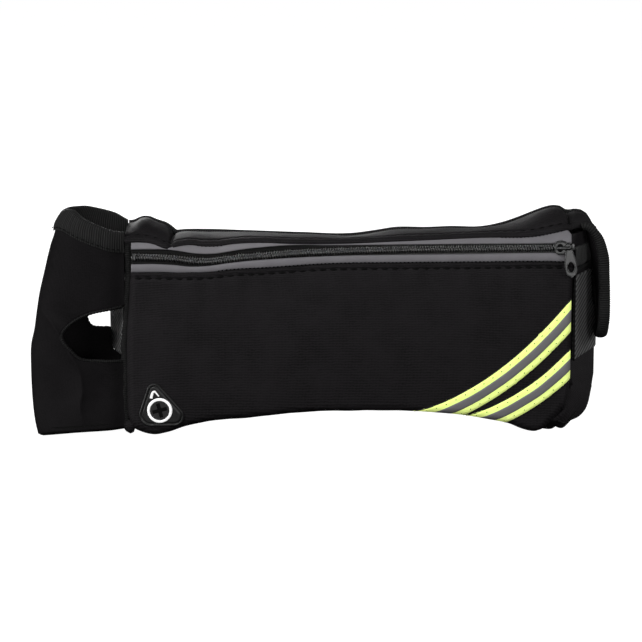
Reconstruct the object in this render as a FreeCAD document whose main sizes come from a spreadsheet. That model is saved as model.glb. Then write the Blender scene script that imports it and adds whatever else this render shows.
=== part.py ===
"""Running waist pack: zipped pouch, bottle sleeve on its left, side flap and elastic belt.

Millimetres. +X is to the viewer's right, +Y goes back towards the wearer and +Z is up.
The pack stands on Z = 0 and the origin is under the middle of its bounding box.
"""
import FreeCAD, Part
import math
import os

from FreeCAD import Placement, Rotation, Vector

os.makedirs("parts", exist_ok=True)
doc = FreeCAD.newDocument("waist_pack")

DIMENSIONS = {
    # pouch
    "front_plane": -41.55,
    "pouch_depth": 42.0,
    "wall": 2.5,
    "pouch_left": -115.0,
    "pouch_right": 146.0,
    "flare": 14.0,
    "bottom_arch": 13.5,
    "corner_radius": 9.0,
    # zip, measured in the zip's own tilted frame
    "zip_height": 110.0,
    "zip_tilt": 1.3,
    "zip_left": -112.0,
    "zip_right": 148.0,
    "coil_gap": 0.6,
    "coil_width": 1.4,
    "coil_depth": 2.1,
    "tape_upper": 3.4,
    "tape_lower": 9.0,
    "tape_thick": 0.6,
    "welt_clear": 3.3,
    "welt_upper": 3.4,
    "welt_lower": 5.0,
    "welt_thick": 1.0,
    "slider_length": 10.5,
    "slider_width": 8.6,
    "slider_park": 140.5,
    "pull_length": 19.0,
    "pull_width": 6.6,
    "pull_thick": 1.1,
    "pull_lean": 4.0,
    # trims on the front
    "band_centre_x": 21.9,
    "band_centre_z": 162.0,
    "band_radius_inner": 154.0,
    "band_radius_outer": 171.0,
    "band_width": 12.5,
    "silver_width": 5.0,
    "band_thick": 0.6,
    "port_x": -95.6,
    "port_z": 18.0,
    "port_size": 26.0,
    "port_thick": 1.2,
    "ring_radius": 7.8,
    "ring_line": 2.0,
    # bottle sleeve
    "sleeve_seam": -117.6,
    "sleeve_half_depth": 22.0,
    "rim_height": 120.0,
    "rim_slope": 14.7,
    "hem_height": 11.0,
    "hem_thick": 0.8,
    "cut_reach": 38.4,
    "cut_half_height": 16.5,
    "cut_height": 60.5,
    "rear_cut_reach": 22.0,
    "rear_cut_low": 58.5,
    "rear_cut_high": 92.0,
    # belt
    "belt_low": 46.0,
    "belt_width": 50.0,
    "belt_thick": 1.6,
    "belt_back": 84.0,
    "belt_gap": 0.4,
    "left_bend": 38.0,
    "buckle_x": 26.0,
    "buckle_width": 56.0,
    "buckle_thick": 11.0,
    "buckle_bar": 3.2,
    "fold_length": 45.0,
    "tail_length": 78.0,
    # side flap
    "flap_low": 58.0,
    "flap_top": 125.5,
    "flap_outer": 170.0,
    "flap_thick": 4.5,
    "flap_front": 14.0,
    "flap_depth": 32.0,
}

sheet = doc.addObject("Spreadsheet::Sheet", "Sizes")
for row, (alias, number) in enumerate(DIMENSIONS.items(), start=1):
    sheet.set("A%d" % row, alias)
    sheet.set("B%d" % row, str(number))
    sheet.setAlias("B%d" % row, alias)
doc.recompute()

subparts = []


def size(alias):
    """Value of one driving dimension."""
    return float(sheet.get(alias))


def depth(behind_front):
    """Y of a place that lies this far behind the pouch's front plane."""
    return size("front_plane") + behind_front


def bind(thing, prop, formula):
    """Bind a property to the sheet; @name in the formula is a driving dimension."""
    thing.setExpression(prop, formula.replace("@", "Sizes."))


def keep(thing, label):
    """Name a finished sub-part and list it for export."""
    thing.Label = label
    subparts.append(thing)
    return thing


def shape_part(label, shape, placement=None):
    """Sub-part whose shape is worked out with Part's own functions."""
    feature = doc.addObject("Part::Feature", label)
    feature.Shape = shape
    if placement is not None:
        feature.Placement = placement
    return keep(feature, label)


def bound_box(name, low, extent):
    """Part::Box whose corner and sides are formulas of the sheet."""
    box = doc.addObject("Part::Box", name)
    for prop, formula in zip(("Length", "Width", "Height"), extent):
        bind(box, prop, formula)
    for axis, formula in zip("xyz", low):
        bind(box, "Placement.Base." + axis, formula)
    return box


def bound_cylinder(name, base, radius, height):
    """Upright Part::Cylinder whose foot, radius and height are formulas of the sheet."""
    cylinder = doc.addObject("Part::Cylinder", name)
    bind(cylinder, "Radius", radius)
    bind(cylinder, "Height", height)
    for axis, formula in zip("xyz", base):
        bind(cylinder, "Placement.Base." + axis, formula)
    return cylinder


def joined(name, pieces):
    """Part::MultiFuse of several pieces."""
    fuse = doc.addObject("Part::MultiFuse", name)
    fuse.Shapes = pieces
    return fuse


def cut_from(name, base, tool):
    """Part::Cut of one piece from another."""
    cut = doc.addObject("Part::Cut", name)
    cut.Base = base
    cut.Tool = tool
    return cut


def padded_outline(label, plane, edges, offset, length):
    """PartDesign::Body that pads an outline drawn on an origin plane.

    On XZ_Plane the outline lies at Y = offset and grows towards +Y; on XY_Plane it
    lies at Z = offset and grows upwards.
    """
    body = doc.addObject("PartDesign::Body", label)
    sketch = body.newObject("Sketcher::SketchObject", label + "_outline")
    origin_plane = [f for f in body.Origin.OriginFeatures if f.Role == plane][0]
    sketch.AttachmentSupport = [(origin_plane, "")]
    sketch.MapMode = "FlatFace"
    facing = -1.0 if plane == "XZ_Plane" else 1.0
    sketch.AttachmentOffset = Placement(Vector(0, 0, facing * offset), Rotation())
    sketch.addGeometry(edges, False)
    pad = body.newObject("PartDesign::Pad", label + "_pad")
    pad.Profile = sketch
    pad.Reversed = plane == "XZ_Plane"
    bind(pad, "Length", length)
    return keep(body, label)


def flat(x, z):
    """Point of a sketch, which has only two directions."""
    return Vector(x, z, 0)


def line(start, end):
    return Part.LineSegment(start, end)


def curve(points):
    """Smooth curve through a few points."""
    spline = Part.BSplineCurve()
    spline.interpolate(points)
    return spline


# ---------------------------------------------------------------- pouch outline

def zip_line(x):
    """Height of the zip's centre line at x."""
    return size("zip_height") + x * math.tan(math.radians(size("zip_tilt")))


def back_edge():
    """Upper edge of the pouch at its back, with a raised corner at each end."""
    left = size("pouch_left")
    right = size("pouch_right")
    low = size("zip_height") + 4.0
    return [
        (left, low + 7.0),
        (left + 9.0, low + 10.5),
        (left + 28.0, low + 3.0),
        (left + 95.0, low + 1.0),
        (left + 145.0, low),
        (right - 70.0, low + 3.0),
        (right - 33.0, low + 7.5),
        (right - 6.0, low + 15.5),
        (right + 6.0, low + 13.0),
        (right + 12.0, low + 7.0),
    ]


def arched_bottom(left, right, radius, lift):
    """Edges of the pouch's lower side: rounded corners that stand on Z = 0 and an arch."""
    foot = 14.0
    middle = (left + right) / 2
    corner = radius * (1 - math.sqrt(0.5))
    return [
        Part.Arc(flat(left, radius + lift), flat(left + corner, corner + lift), flat(left + radius, lift)),
        line(flat(left + radius, lift), flat(left + radius + foot, lift)),
        Part.Arc(
            flat(left + radius + foot, lift),
            flat(middle, size("bottom_arch") + lift),
            flat(right - radius - foot, lift),
        ),
        line(flat(right - radius - foot, lift), flat(right - radius, lift)),
        Part.Arc(flat(right - radius, lift), flat(right - corner, corner + lift), flat(right, radius + lift)),
    ]


def front_panel():
    left = size("pouch_left")
    right = size("pouch_right")
    top_left = flat(left, zip_line(left) - size("welt_clear"))
    top_right = flat(right, zip_line(right) - size("welt_clear"))
    edges = arched_bottom(left, right, size("corner_radius"), 0.0)
    edges += [
        line(edges[-1].EndPoint, top_right),
        line(top_right, top_left),
        line(top_left, edges[0].StartPoint),
    ]
    padded_outline("front_panel", "XZ_Plane", edges, size("front_plane"), "@wall")


def back_panel():
    left = size("pouch_left")
    right = size("pouch_right") + size("flare") - size("wall")
    top = [flat(x, z) for x, z in back_edge()]
    edges = arched_bottom(left, right, size("corner_radius"), 0.0)
    edges += [
        line(edges[-1].EndPoint, flat(right, top[-1].y)),
        line(flat(right, top[-1].y), top[-1]),
        curve(list(reversed(top))),
        line(top[0], edges[0].StartPoint),
    ]
    offset = depth(size("pouch_depth") - size("wall"))
    padded_outline("back_panel", "XZ_Plane", edges, offset, "@wall")


def top_panel():
    """Sheet from the zip's upper welt back to the upper edge of the back panel, with a front lip."""
    wall = size("wall")
    rear = size("pouch_depth") - wall
    right = size("pouch_right")
    lip_low = size("welt_clear")
    lip_high = lip_low + size("welt_upper")
    sections = []
    for x, z in back_edge():
        past = max(x - right, 0.0)
        start = wall + past / size("flare") * size("pouch_depth") * 0.93
        front_z = zip_line(min(x, right)) + lip_high + past * 0.8
        corners = [
            Vector(x, depth(start), front_z),
            Vector(x, depth(rear), z),
            Vector(x, depth(rear), z - wall),
            Vector(x, depth(start), front_z - wall),
        ]
        sections.append(Part.makePolygon(corners + corners[:1]))
    sheet_back = Part.makeLoft(sections, True, True)
    lip = Part.makeBox(right - size("zip_left") - 2.0, wall, lip_high - lip_low, Vector(size("zip_left"), 0, lip_low))
    lip.Placement = zip_placement()
    shape_part("top_panel", sheet_back.fuse(lip).removeSplitter())


def arch_wire(right, y):
    """Closed outline of the arched strip at one depth."""
    wall = size("wall")
    left = size("pouch_left")
    radius = size("corner_radius")
    lower = arched_bottom(left, right, radius, 0.0)
    upper = arched_bottom(left + wall, right - wall, radius, wall)
    edges = lower + [line(lower[-1].EndPoint, upper[-1].EndPoint)]
    edges += upper + [line(lower[0].StartPoint, upper[0].StartPoint)]
    wire = Part.Wire(Part.__sortEdges__([e.toShape() for e in edges]))
    wire.Placement = Placement(Vector(0, y, 0), Rotation(Vector(1, 0, 0), 90))
    return wire


def bottom_gusset():
    """Arched strip between the front and back panels, wider at the back than at the front."""
    wall = size("wall")
    slope = size("flare") / size("pouch_depth")
    near = arch_wire(size("pouch_right") + slope * wall, depth(wall))
    rear_depth = size("pouch_depth") - wall
    far = arch_wire(size("pouch_right") + slope * rear_depth, depth(rear_depth))
    shape_part("bottom_gusset", Part.makeLoft([near, far], True, True))


def left_gusset():
    low = size("corner_radius") + size("wall")
    box = bound_box(
        "left_gusset_box",
        ("@pouch_left", "@front_plane + @wall", "%f" % low),
        ("@wall", "@pouch_depth - 2 * @wall", "@zip_height - @tape_lower - 2 - %f" % low),
    )
    keep(box, "left_gusset")


def right_gusset():
    """Side panel that flares outwards towards the wearer, cut back where the zip ends."""
    wall = size("wall")
    heading = 90.0 - math.degrees(math.atan2(size("flare"), size("pouch_depth")))
    turn = math.radians(heading)
    run = (size("pouch_depth") - 2 * wall) / math.sin(turn) - wall / math.tan(turn)
    low = size("corner_radius") + wall + 0.1
    zip_low = size("zip_height") - 8.0
    top = size("zip_height") + 6.0
    corners = [(0.0, low), (run, low), (run, top), (9.0, top), (9.0, zip_low), (0.0, zip_low)]
    points = [Vector(u, 0, z) for u, z in corners]
    panel = Part.Face(Part.makePolygon(points + points[:1])).extrude(Vector(0, wall, 0))
    start = size("pouch_right") + size("flare") * wall / size("pouch_depth")
    place = Vector(start, depth(wall), 0)
    shape_part("right_gusset", panel, Placement(place, Rotation(Vector(0, 0, 1), heading)))


# ---------------------------------------------------------------- zip

def zip_placement():
    """The zip is drawn level about its own origin, then tilted along the pouch's mouth."""
    turn = Rotation(Vector(0, -1, 0), size("zip_tilt"))
    return Placement(Vector(0, size("front_plane"), size("zip_height")), turn)


def zip_strip(label, side, low, width, near, thick):
    """Straight strip along the zip; side is +1 above the centre line and -1 below it."""
    length = size("zip_right") - size("zip_left")
    bottom = low if side > 0 else -low - width
    strip = Part.makeBox(length, thick, width, Vector(size("zip_left"), near, bottom))
    shape_part(label, strip, zip_placement())


def zip_strips():
    coil_near = size("wall") - size("coil_depth") - 0.1
    for side, word in ((1, "upper"), (-1, "lower")):
        zip_strip("zip_coil_" + word, side, size("coil_gap"), size("coil_width"), coil_near, size("coil_depth"))
        zip_strip("zip_tape_" + word, side, size("coil_gap"), size("tape_" + word), size("wall"), size("tape_thick"))
        zip_strip("welt_" + word, side, size("welt_clear"), size("welt_" + word), -size("welt_thick"), size("welt_thick"))


def zip_end_stops():
    """Crimped stops that bridge both coils at the two ends."""
    width = 2 * (size("coil_gap") + size("coil_width"))
    near = size("wall") - size("coil_depth") - 1.1
    stops = []
    for x in (size("zip_left") + 0.5, size("zip_right") - 2.3):
        stops.append(Part.makeBox(1.8, 0.9, width, Vector(x, near, -width / 2)))
    shape_part("zip_end_stops", Part.makeCompound(stops), zip_placement())


def rounded_plate(length, width, near, thick, radius):
    """Plate in the zip's plane, centred on its origin, with rounded corners."""
    plate = Part.makeBox(length, thick, width, Vector(-length / 2, near, -width / 2))
    across = [e for e in plate.Edges if abs(e.tangentAt(e.FirstParameter).y) > 0.9]
    return plate.makeFillet(radius, across)


def zip_slider():
    """Front and rear plates, the post between the coils, two flanges and the bridge."""
    long = size("slider_length")
    wide = size("slider_width")
    near = -size("welt_thick") - 0.5
    rear = size("wall") + size("tape_thick") + 0.4
    coil_side = size("coil_gap") + size("coil_width") + 0.3
    front_plate = rounded_plate(long, wide, near - 1.5, 1.5, 3.0)
    rear_plate = rounded_plate(long, wide * 0.8, rear, 1.0, 2.5)
    post = Part.makeBox(3.0, rear - near, 0.6, Vector(-1.5, near, -0.3))
    pieces = [front_plate, rear_plate, post]
    for side in (-1, 1):
        low = coil_side if side > 0 else -coil_side - 0.7
        pieces.append(Part.makeBox(long * 0.7, 2.0, 0.7, Vector(-long * 0.35, near, low)))
    for x in (-4.0, 2.6):
        pieces.append(Part.makeCylinder(0.8, 3.0, Vector(x + 0.7, near - 1.0, 0), Vector(0, -1, 0)))
    bridge = Part.makeBox(8.2, 1.1, 2.2, Vector(-4.1, near - 4.9, -1.1))
    pieces.append(bridge)
    shape = pieces[0].multiFuse(pieces[1:]).removeSplitter()
    park = Placement(Vector(size("slider_park"), 0, 0), Rotation())
    shape_part("zip_slider", shape, zip_placement().multiply(park))


def pull_tab():
    """Hanging tab: its round eye goes round the bridge's right post."""
    thick = size("pull_thick")
    near = -size("welt_thick") - 0.5 - 1.5 - 0.4 - thick
    length = size("pull_length")
    wide = size("pull_width")
    eye = Part.makeCylinder(2.4, thick, Vector(0, near, 0), Vector(0, 1, 0))
    neck = Part.makeBox(3.4, thick, 6.0, Vector(-1.7, near, -6.0))
    blade = Part.makeBox(wide, thick, length - 6.2, Vector(-wide / 2, near, -length + 2.4))
    across = [e for e in blade.Edges if abs(e.tangentAt(e.FirstParameter).y) > 0.9]
    blade = blade.makeFillet(2.2, across)
    tab = eye.multiFuse([neck, blade])
    eye_hole = Part.makeCylinder(1.15, thick, Vector(0, near, 0), Vector(0, 1, 0))
    slot_low = Part.makeCylinder(1.5, thick, Vector(0, near, -length + 5.6), Vector(0, 1, 0))
    slot_high = Part.makeCylinder(1.5, thick, Vector(0, near, -length + 9.0), Vector(0, 1, 0))
    slot = Part.makeBox(3.0, thick, 3.4, Vector(-1.5, near, -length + 5.6))
    tab = tab.cut(eye_hole.multiFuse([slot_low, slot_high, slot])).removeSplitter()
    post = Placement(Vector(size("slider_park") + 3.3, 0, 0), Rotation())
    lean = Placement(Vector(), Rotation(Vector(0, -1, 0), size("pull_lean")))
    shape_part("pull_tab", tab, zip_placement().multiply(post).multiply(lean))


# ---------------------------------------------------------------- trims on the front

def curved_band(radius, width, near, thick):
    """Part of a flat ring in front of the panel, cut to the panel's outline."""
    centre = Vector(size("band_centre_x"), depth(near), size("band_centre_z"))
    outer = Part.makeCylinder(radius + width / 2, thick, centre, Vector(0, 1, 0))
    inner = Part.makeCylinder(radius - width / 2, thick, centre, Vector(0, 1, 0))
    left = size("pouch_left")
    right = size("pouch_right")
    edges = arched_bottom(left, right, size("corner_radius"), 0.0)
    limit = [
        line(edges[-1].EndPoint, flat(right, 100.0)),
        line(flat(right, 100.0), flat(left, 100.0)),
        line(flat(left, 100.0), edges[0].StartPoint),
    ]
    wire = Part.Wire([e.toShape() for e in edges + limit])
    window = Part.Face(wire).extrude(Vector(0, 0, thick))
    window.Placement = Placement(Vector(0, depth(near) + thick, 0), Rotation(Vector(1, 0, 0), 90))
    right_half = Part.makeBox(200, thick, 200, Vector(40.0, depth(near), -20.0))
    return outer.cut(inner).common(window).common(right_half)


def reflective_bands():
    """Two fluorescent ribbons, each with a silver strip along its middle."""
    thick = size("band_thick")
    for word, alias in (("upper", "band_radius_inner"), ("lower", "band_radius_outer")):
        radius = size(alias)
        shape_part("yellow_tape_" + word, curved_band(radius, size("band_width"), -thick, thick))
        shape_part("silver_strip_" + word, curved_band(radius, size("silver_width"), -thick - 0.3, 0.3))


def earphone_port():
    """Rubber patch with three rounded corners and a cross-shaped slit, and its ring."""
    reach = size("port_size") / 2 + 1.5
    near = -size("port_thick")
    centre = Vector(size("port_x"), depth(near), size("port_z"))
    tips = []
    for angle in (105.0, 225.0, 345.0):
        turn = math.radians(angle)
        tips.append(Vector(reach * math.cos(turn), 0, reach * math.sin(turn)) + centre)
    patch = Part.Face(Part.makePolygon(tips + tips[:1])).extrude(Vector(0, size("port_thick"), 0))
    across = [e for e in patch.Edges if abs(e.tangentAt(e.FirstParameter).y) > 0.9]
    patch = patch.makeFillet(4.0, across)
    round_body = Part.makeCylinder(size("ring_radius") + 2.4, size("port_thick"), centre, Vector(0, 1, 0))
    patch = patch.fuse(round_body).removeSplitter()
    for angle in (15.0, 105.0):
        slit = Part.makeBox(8.0, 3.0, 0.5, Vector(-4.0, -1.0, -0.25))
        slit.Placement = Placement(centre, Rotation(Vector(0, -1, 0), angle))
        patch = patch.cut(slit)
    shape_part("earphone_port", patch)
    front = centre + Vector(0, -0.4, 0)
    ring = Part.makeCylinder(size("ring_radius"), 0.4, front, Vector(0, 1, 0))
    hole = Part.makeCylinder(size("ring_radius") - size("ring_line"), 0.4, front, Vector(0, 1, 0))
    shape_part("earphone_ring", ring.cut(hole))


# ---------------------------------------------------------------- bottle sleeve

def sleeve_body(grow):
    """Solid inside of the sleeve's outline, grown or shrunk all round."""
    reach = ((-1.0, 48.4), (40.0, 52.4), (80.0, 49.7), (104.0, 45.0), (136.0, 36.5))
    rings = []
    for height, half_width in reach:
        centre = Vector(size("sleeve_seam"), depth(size("pouch_depth") / 2), height)
        ellipse = Part.Ellipse(centre, half_width + grow, size("sleeve_half_depth") + grow)
        rings.append(Part.Wire(ellipse.toShape()))
    solid = Part.makeLoft(rings, True, False)
    seam = Part.makeBox(120, 120, 200, Vector(size("sleeve_seam"), -60, -20))
    return solid.cut(seam)


def above_rim(drop):
    """Everything above the sloping rim, lowered by drop."""
    block = Part.makeBox(200, 120, 100, Vector(-100, -60, 0))
    turn = Rotation(Vector(0, 1, 0), size("rim_slope"))
    place = Vector(size("pouch_left"), 0, size("rim_height") - drop)
    block.Placement = Placement(place, turn)
    return block


def bottle_sleeve():
    wall = size("wall")
    shell = sleeve_body(0.0).cut(sleeve_body(-wall))
    shell = shell.cut(Part.makeBox(80, 80, 20, Vector(-190, depth(-10), wall - 20)))
    shell = shell.cut(above_rim(0.0))
    middle = depth(size("pouch_depth") / 2)
    centre = Vector(size("sleeve_seam"), middle, size("cut_height"))
    window = Part.Ellipse(Vector(), size("cut_reach"), size("cut_half_height"))
    opening = Part.Face(Part.Wire(window.toShape())).extrude(Vector(0, 0, 60))
    opening.Placement = Placement(centre, Rotation(Vector(1, 0, 0), 90))
    high = size("rear_cut_high") - size("rear_cut_low")
    reach = size("rear_cut_reach")
    rear = Part.makeBox(reach * 2, 60, high, Vector(size("sleeve_seam") - reach, middle, size("rear_cut_low")))
    across = [e for e in rear.Edges if abs(e.tangentAt(e.FirstParameter).y) > 0.9]
    rear = rear.makeFillet(7.0, across)
    shape_part("bottle_sleeve", shell.cut(opening).cut(rear))


def sleeve_hem():
    """Ribbed elastic round the outside of the sleeve's mouth."""
    band = sleeve_body(size("hem_thick")).cut(sleeve_body(0.0))
    slab = above_rim(size("hem_height")).cut(above_rim(0.0))
    shape_part("sleeve_hem", band.common(slab))


def sleeve_base():
    floor = Part.makeBox(80, 80, size("wall"), Vector(-190, depth(-10), 0))
    shape_part("sleeve_base", sleeve_body(0.0).common(floor))


def left_seam_binding():
    box = bound_box(
        "left_seam_binding_box",
        ("@sleeve_seam", "@front_plane", "@wall"),
        ("@pouch_left - @sleeve_seam", "@wall", "@zip_height - @tape_lower"),
    )
    keep(box, "left_seam_binding")


# ---------------------------------------------------------------- belt

def offset_point(station, side):
    (x, y), heading = station
    turn = math.radians(heading)
    return Vector(x - side * math.sin(turn), y + side * math.cos(turn), 0)


def offset_edge(start, end, side):
    """Edge beside the path from one station to the next: a line, or an arc where it turns."""
    a = offset_point(start, side)
    b = offset_point(end, side)
    if abs(start[1] - end[1]) < 0.001:
        return Part.LineSegment(a, b).toShape()
    half = (start[1] + end[1]) / 2
    chord = math.hypot(end[0][0] - start[0][0], end[0][1] - start[0][1])
    swing = math.radians(end[1] - start[1])
    radius = chord / (2 * math.sin(swing / 2))
    turn = math.radians(start[1])
    centre = Vector(start[0][0] - radius * math.sin(turn), start[0][1] + radius * math.cos(turn), 0)
    middle_turn = math.radians(half)
    reach = radius - side
    middle = centre + Vector(math.sin(middle_turn), -math.cos(middle_turn), 0) * reach
    return Part.Arc(a, middle, b).toShape()


def strap(label, stations):
    """Webbing on edge that follows stations of ((x, y), heading in degrees) in plan."""
    half = size("belt_thick") / 2
    pairs = list(zip(stations, stations[1:]))
    edges = [offset_edge(a, b, half) for a, b in pairs]
    edges.append(Part.LineSegment(offset_point(stations[-1], half), offset_point(stations[-1], -half)).toShape())
    edges += [offset_edge(a, b, -half) for a, b in reversed(pairs)]
    edges.append(Part.LineSegment(offset_point(stations[0], half), offset_point(stations[0], -half)).toShape())
    wire = Part.Wire(Part.__sortEdges__(edges))
    solid = Part.Face(wire).extrude(Vector(0, 0, size("belt_width")))
    shape_part(label, solid, Placement(Vector(0, 0, size("belt_low")), Rotation()))


def fold_radius():
    """Middle of the webbing where it turns round a buckle's bar."""
    return size("buckle_bar") / 2 + size("belt_thick") / 2 + 0.2


def female_bar_x():
    return size("buckle_x") - 36.0


def male_bar_x():
    return size("buckle_x") + 17.0


def belt_strap_left():
    """Sewn to the left gusset, round the female half's bar and sewn back on itself."""
    x = size("pouch_left") - size("belt_gap") - size("belt_thick") / 2
    back = depth(size("belt_back")) - fold_radius()
    bend = size("left_bend")
    bar = female_bar_x()
    turn_end = depth(size("belt_back")) + fold_radius()
    strap("belt_strap_left", [
        ((x, depth(5.0)), 90.0),
        ((x, back - bend), 90.0),
        ((x + bend, back), 0.0),
        ((bar, back), 0.0),
        ((bar + fold_radius(), back + fold_radius()), 90.0),
        ((bar, turn_end), 180.0),
        ((bar - size("fold_length"), turn_end), 180.0),
    ])


def right_path():
    """Start and heading of the right strap, which lies on the flared gusset."""
    heading = 90.0 - math.degrees(math.atan2(size("flare"), size("pouch_depth")))
    turn = math.radians(heading)
    away = size("belt_gap") + size("belt_thick") / 2
    along = 6.0
    x = size("pouch_right") + away * math.sin(turn) + along * math.cos(turn)
    y = depth(0.0) - away * math.cos(turn) + along * math.sin(turn)
    return (x, y), heading


def belt_strap_right():
    """Sewn to the right gusset, round the male half's bar, with a free tail."""
    (x, y), heading = right_path()
    turn = math.radians(heading)
    run = size("pouch_depth") - 4.0
    leave = (x + run * math.cos(turn), y + run * math.sin(turn))
    back = depth(size("belt_back")) - fold_radius()
    bend = (back - leave[1]) / (1 + math.cos(turn))
    centre_x = leave[0] - bend * math.sin(turn)
    bar = male_bar_x()
    turn_end = depth(size("belt_back")) + fold_radius()
    strap("belt_strap_right", [
        ((x, y), heading),
        (leave, heading),
        ((centre_x, back), 180.0),
        ((bar, back), 180.0),
        ((bar - fold_radius(), back + fold_radius()), 90.0),
        ((bar, turn_end), 0.0),
        ((bar + size("tail_length"), turn_end), 0.0),
    ])


def strap_keeper():
    """Plastic loop that holds the free tail against the belt."""
    middle = "@front_plane + @belt_back"
    reach = "%f" % (fold_radius() + size("belt_thick") / 2 + 0.4)
    outer = bound_box(
        "keeper_outer",
        ("@buckle_x + 78", middle + " - %s - 1.4" % reach, "@belt_low - 2.2"),
        ("8", "2 * %s + 2.8" % reach, "@belt_width + 4.4"),
    )
    inner = bound_box(
        "keeper_inner",
        ("@buckle_x + 77", middle + " - " + reach, "@belt_low - 0.4"),
        ("10", "2 * " + reach, "@belt_width + 0.8"),
    )
    keep(cut_from("strap_keeper_cut", outer, inner), "strap_keeper")


BELT_MIDDLE = "@belt_low + @belt_width / 2"
BACK_RUN = "@front_plane + @belt_back"


def buckle_female():
    """Housing with a mouth towards +X, a side window for each latch arm and a webbing bar."""
    housing = bound_box(
        "female_housing",
        ("@buckle_x - 31", BACK_RUN + " - @buckle_thick / 2", BELT_MIDDLE + " - @buckle_width / 2"),
        ("31", "@buckle_thick", "@buckle_width"),
    )
    mouth = bound_box(
        "female_mouth",
        ("@buckle_x - 25", BACK_RUN + " - 3.6", BELT_MIDDLE + " - 21"),
        ("26", "7.2", "42"),
    )
    windows = bound_box(
        "female_windows",
        ("@buckle_x - 22", BACK_RUN + " - 3.6", BELT_MIDDLE + " - 40"),
        ("12", "7.2", "80"),
    )
    rails = []
    for word, low in (("low", "@belt_low - 3"), ("high", "@belt_low + @belt_width + 0.5")):
        rails.append(bound_box(
            "female_rail_" + word,
            ("@buckle_x - 38", BACK_RUN + " - 2", low),
            ("7.5", "4", "2.5"),
        ))
    bar = bound_cylinder(
        "female_bar",
        ("@buckle_x - 36", BACK_RUN, "@belt_low - 1"),
        "@buckle_bar / 2",
        "@belt_width + 2",
    )
    hollow = cut_from("female_shell", cut_from("female_hollow", housing, mouth), windows)
    keep(joined("buckle_female_fuse", [hollow, bar] + rails), "buckle_female")


def buckle_male():
    """Head with a centre guide, sockets for the latch arms and a webbing bar."""
    head = bound_box(
        "male_head",
        ("@buckle_x + 0.4", BACK_RUN + " - @buckle_thick / 2", BELT_MIDDLE + " - @buckle_width / 2"),
        ("11", "@buckle_thick", "@buckle_width"),
    )
    guide = bound_box(
        "male_guide",
        ("@buckle_x - 23", BACK_RUN + " - 2.6", BELT_MIDDLE + " - 5"),
        ("24", "5.2", "10"),
    )
    sockets = []
    for word, shift in (("low", "-15"), ("high", "15")):
        sockets.append(bound_box(
            "male_socket_" + word,
            ("@buckle_x - 1", BACK_RUN + " - 3.4", BELT_MIDDLE + " + %s - 4" % shift),
            ("7", "6.8", "8"),
        ))
    rails = []
    for word, low in (("low", "@belt_low - 3"), ("high", "@belt_low + @belt_width + 0.5")):
        rails.append(bound_box(
            "male_rail_" + word,
            ("@buckle_x + 11", BACK_RUN + " - 2", low),
            ("8", "4", "2.5"),
        ))
    bar = bound_cylinder(
        "male_bar",
        ("@buckle_x + 17", BACK_RUN, "@belt_low - 1"),
        "@buckle_bar / 2",
        "@belt_width + 2",
    )
    hollow = cut_from("male_hollow", head, joined("male_sockets", sockets))
    keep(joined("buckle_male_fuse", [hollow, guide, bar] + rails), "buckle_male")


def latch_arms():
    """Springy side arms of the male half, each with a thumb pad in its side window."""
    for word, side in (("lower", -1), ("upper", 1)):
        centre = size("belt_low") + size("belt_width") / 2
        y = depth(size("belt_back"))
        pivot = Vector(size("buckle_x") + 3.4, y - 2.9, centre + side * 15.0)
        root = Part.makeCylinder(2.2, 5.8, pivot, Vector(0, 1, 0))
        stem_low = centre + side * 15.0 - 1.5
        stem = Part.makeBox(22.0, 5.8, 3.0, Vector(size("buckle_x") - 18.6, y - 2.9, stem_low))
        pad_low = centre + (14.0 if side > 0 else -20.0)
        pad = Part.makeBox(9.0, 5.8, 6.0, Vector(size("buckle_x") - 20.5, y - 2.9, pad_low))
        shape_part("latch_arm_" + word, root.multiFuse([stem, pad]).removeSplitter())


# ---------------------------------------------------------------- right side

def on_right_gusset(label, along, run, low, height, thick):
    """Flat piece that lies on the outer face of the flared gusset."""
    (x, y), heading = right_path()
    away = size("belt_gap") + size("belt_thick") / 2
    piece = Part.makeBox(run, thick, height, Vector(along, away - thick, 0))
    shape_part(label, piece, Placement(Vector(x, y, low), Rotation(Vector(0, 0, 1), heading)))


def easing_arc(at, x_top, z_top, x_low, z_low):
    """Arc that leaves a slanting top and runs straight down at its lower end."""
    reach = x_low - x_top
    drop = z_top - z_low
    radius = (reach * reach + drop * drop) / (2 * reach)
    half = math.asin(drop / radius) / 2
    middle = at(x_low - radius * (1 - math.cos(half)), z_low + radius * math.sin(half))
    return Part.Arc(at(x_top, z_top), middle, at(x_low, z_low))


def flap_profile(near, run):
    """Solid with the flap's front-view shape, run long from this depth."""
    outer = size("flap_outer")
    inner = outer - size("flap_thick")
    top = size("flap_top")
    low = size("flap_low")
    root = size("pouch_right") + size("flare") + 1.0
    y = depth(near)

    def at(x, z):
        return Vector(x, y, z)

    nose = size("flap_thick") / 2
    bend = top - 34.0
    edges = [
        easing_arc(at, root, top, outer, bend),
        Part.LineSegment(at(outer, bend), at(outer, low + nose)),
        Part.Arc(at(outer, low + nose), at(outer - nose, low), at(inner, low + nose)),
        Part.LineSegment(at(inner, low + nose), at(inner, bend)),
        easing_arc(at, root, top - 4.5, inner, bend),
        Part.LineSegment(at(root, top - 4.5), at(root, top)),
    ]
    wire = Part.Wire([e.toShape() for e in edges])
    return Part.Face(wire).extrude(Vector(0, run, 0))


def flap_corner_cut(near, far):
    """Material outside the rounded lower end of the flap, seen from the side."""
    low = size("flap_low") - 1.0
    radius = (far - near) / 2
    block = Part.makeBox(40, far - near + 2, radius + 1.0, Vector(140, near - 1, low))
    disc = Part.makeCylinder(radius, 40, Vector(140, (near + far) / 2, low + radius + 1.0), Vector(1, 0, 0))
    return block.cut(disc)


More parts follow.
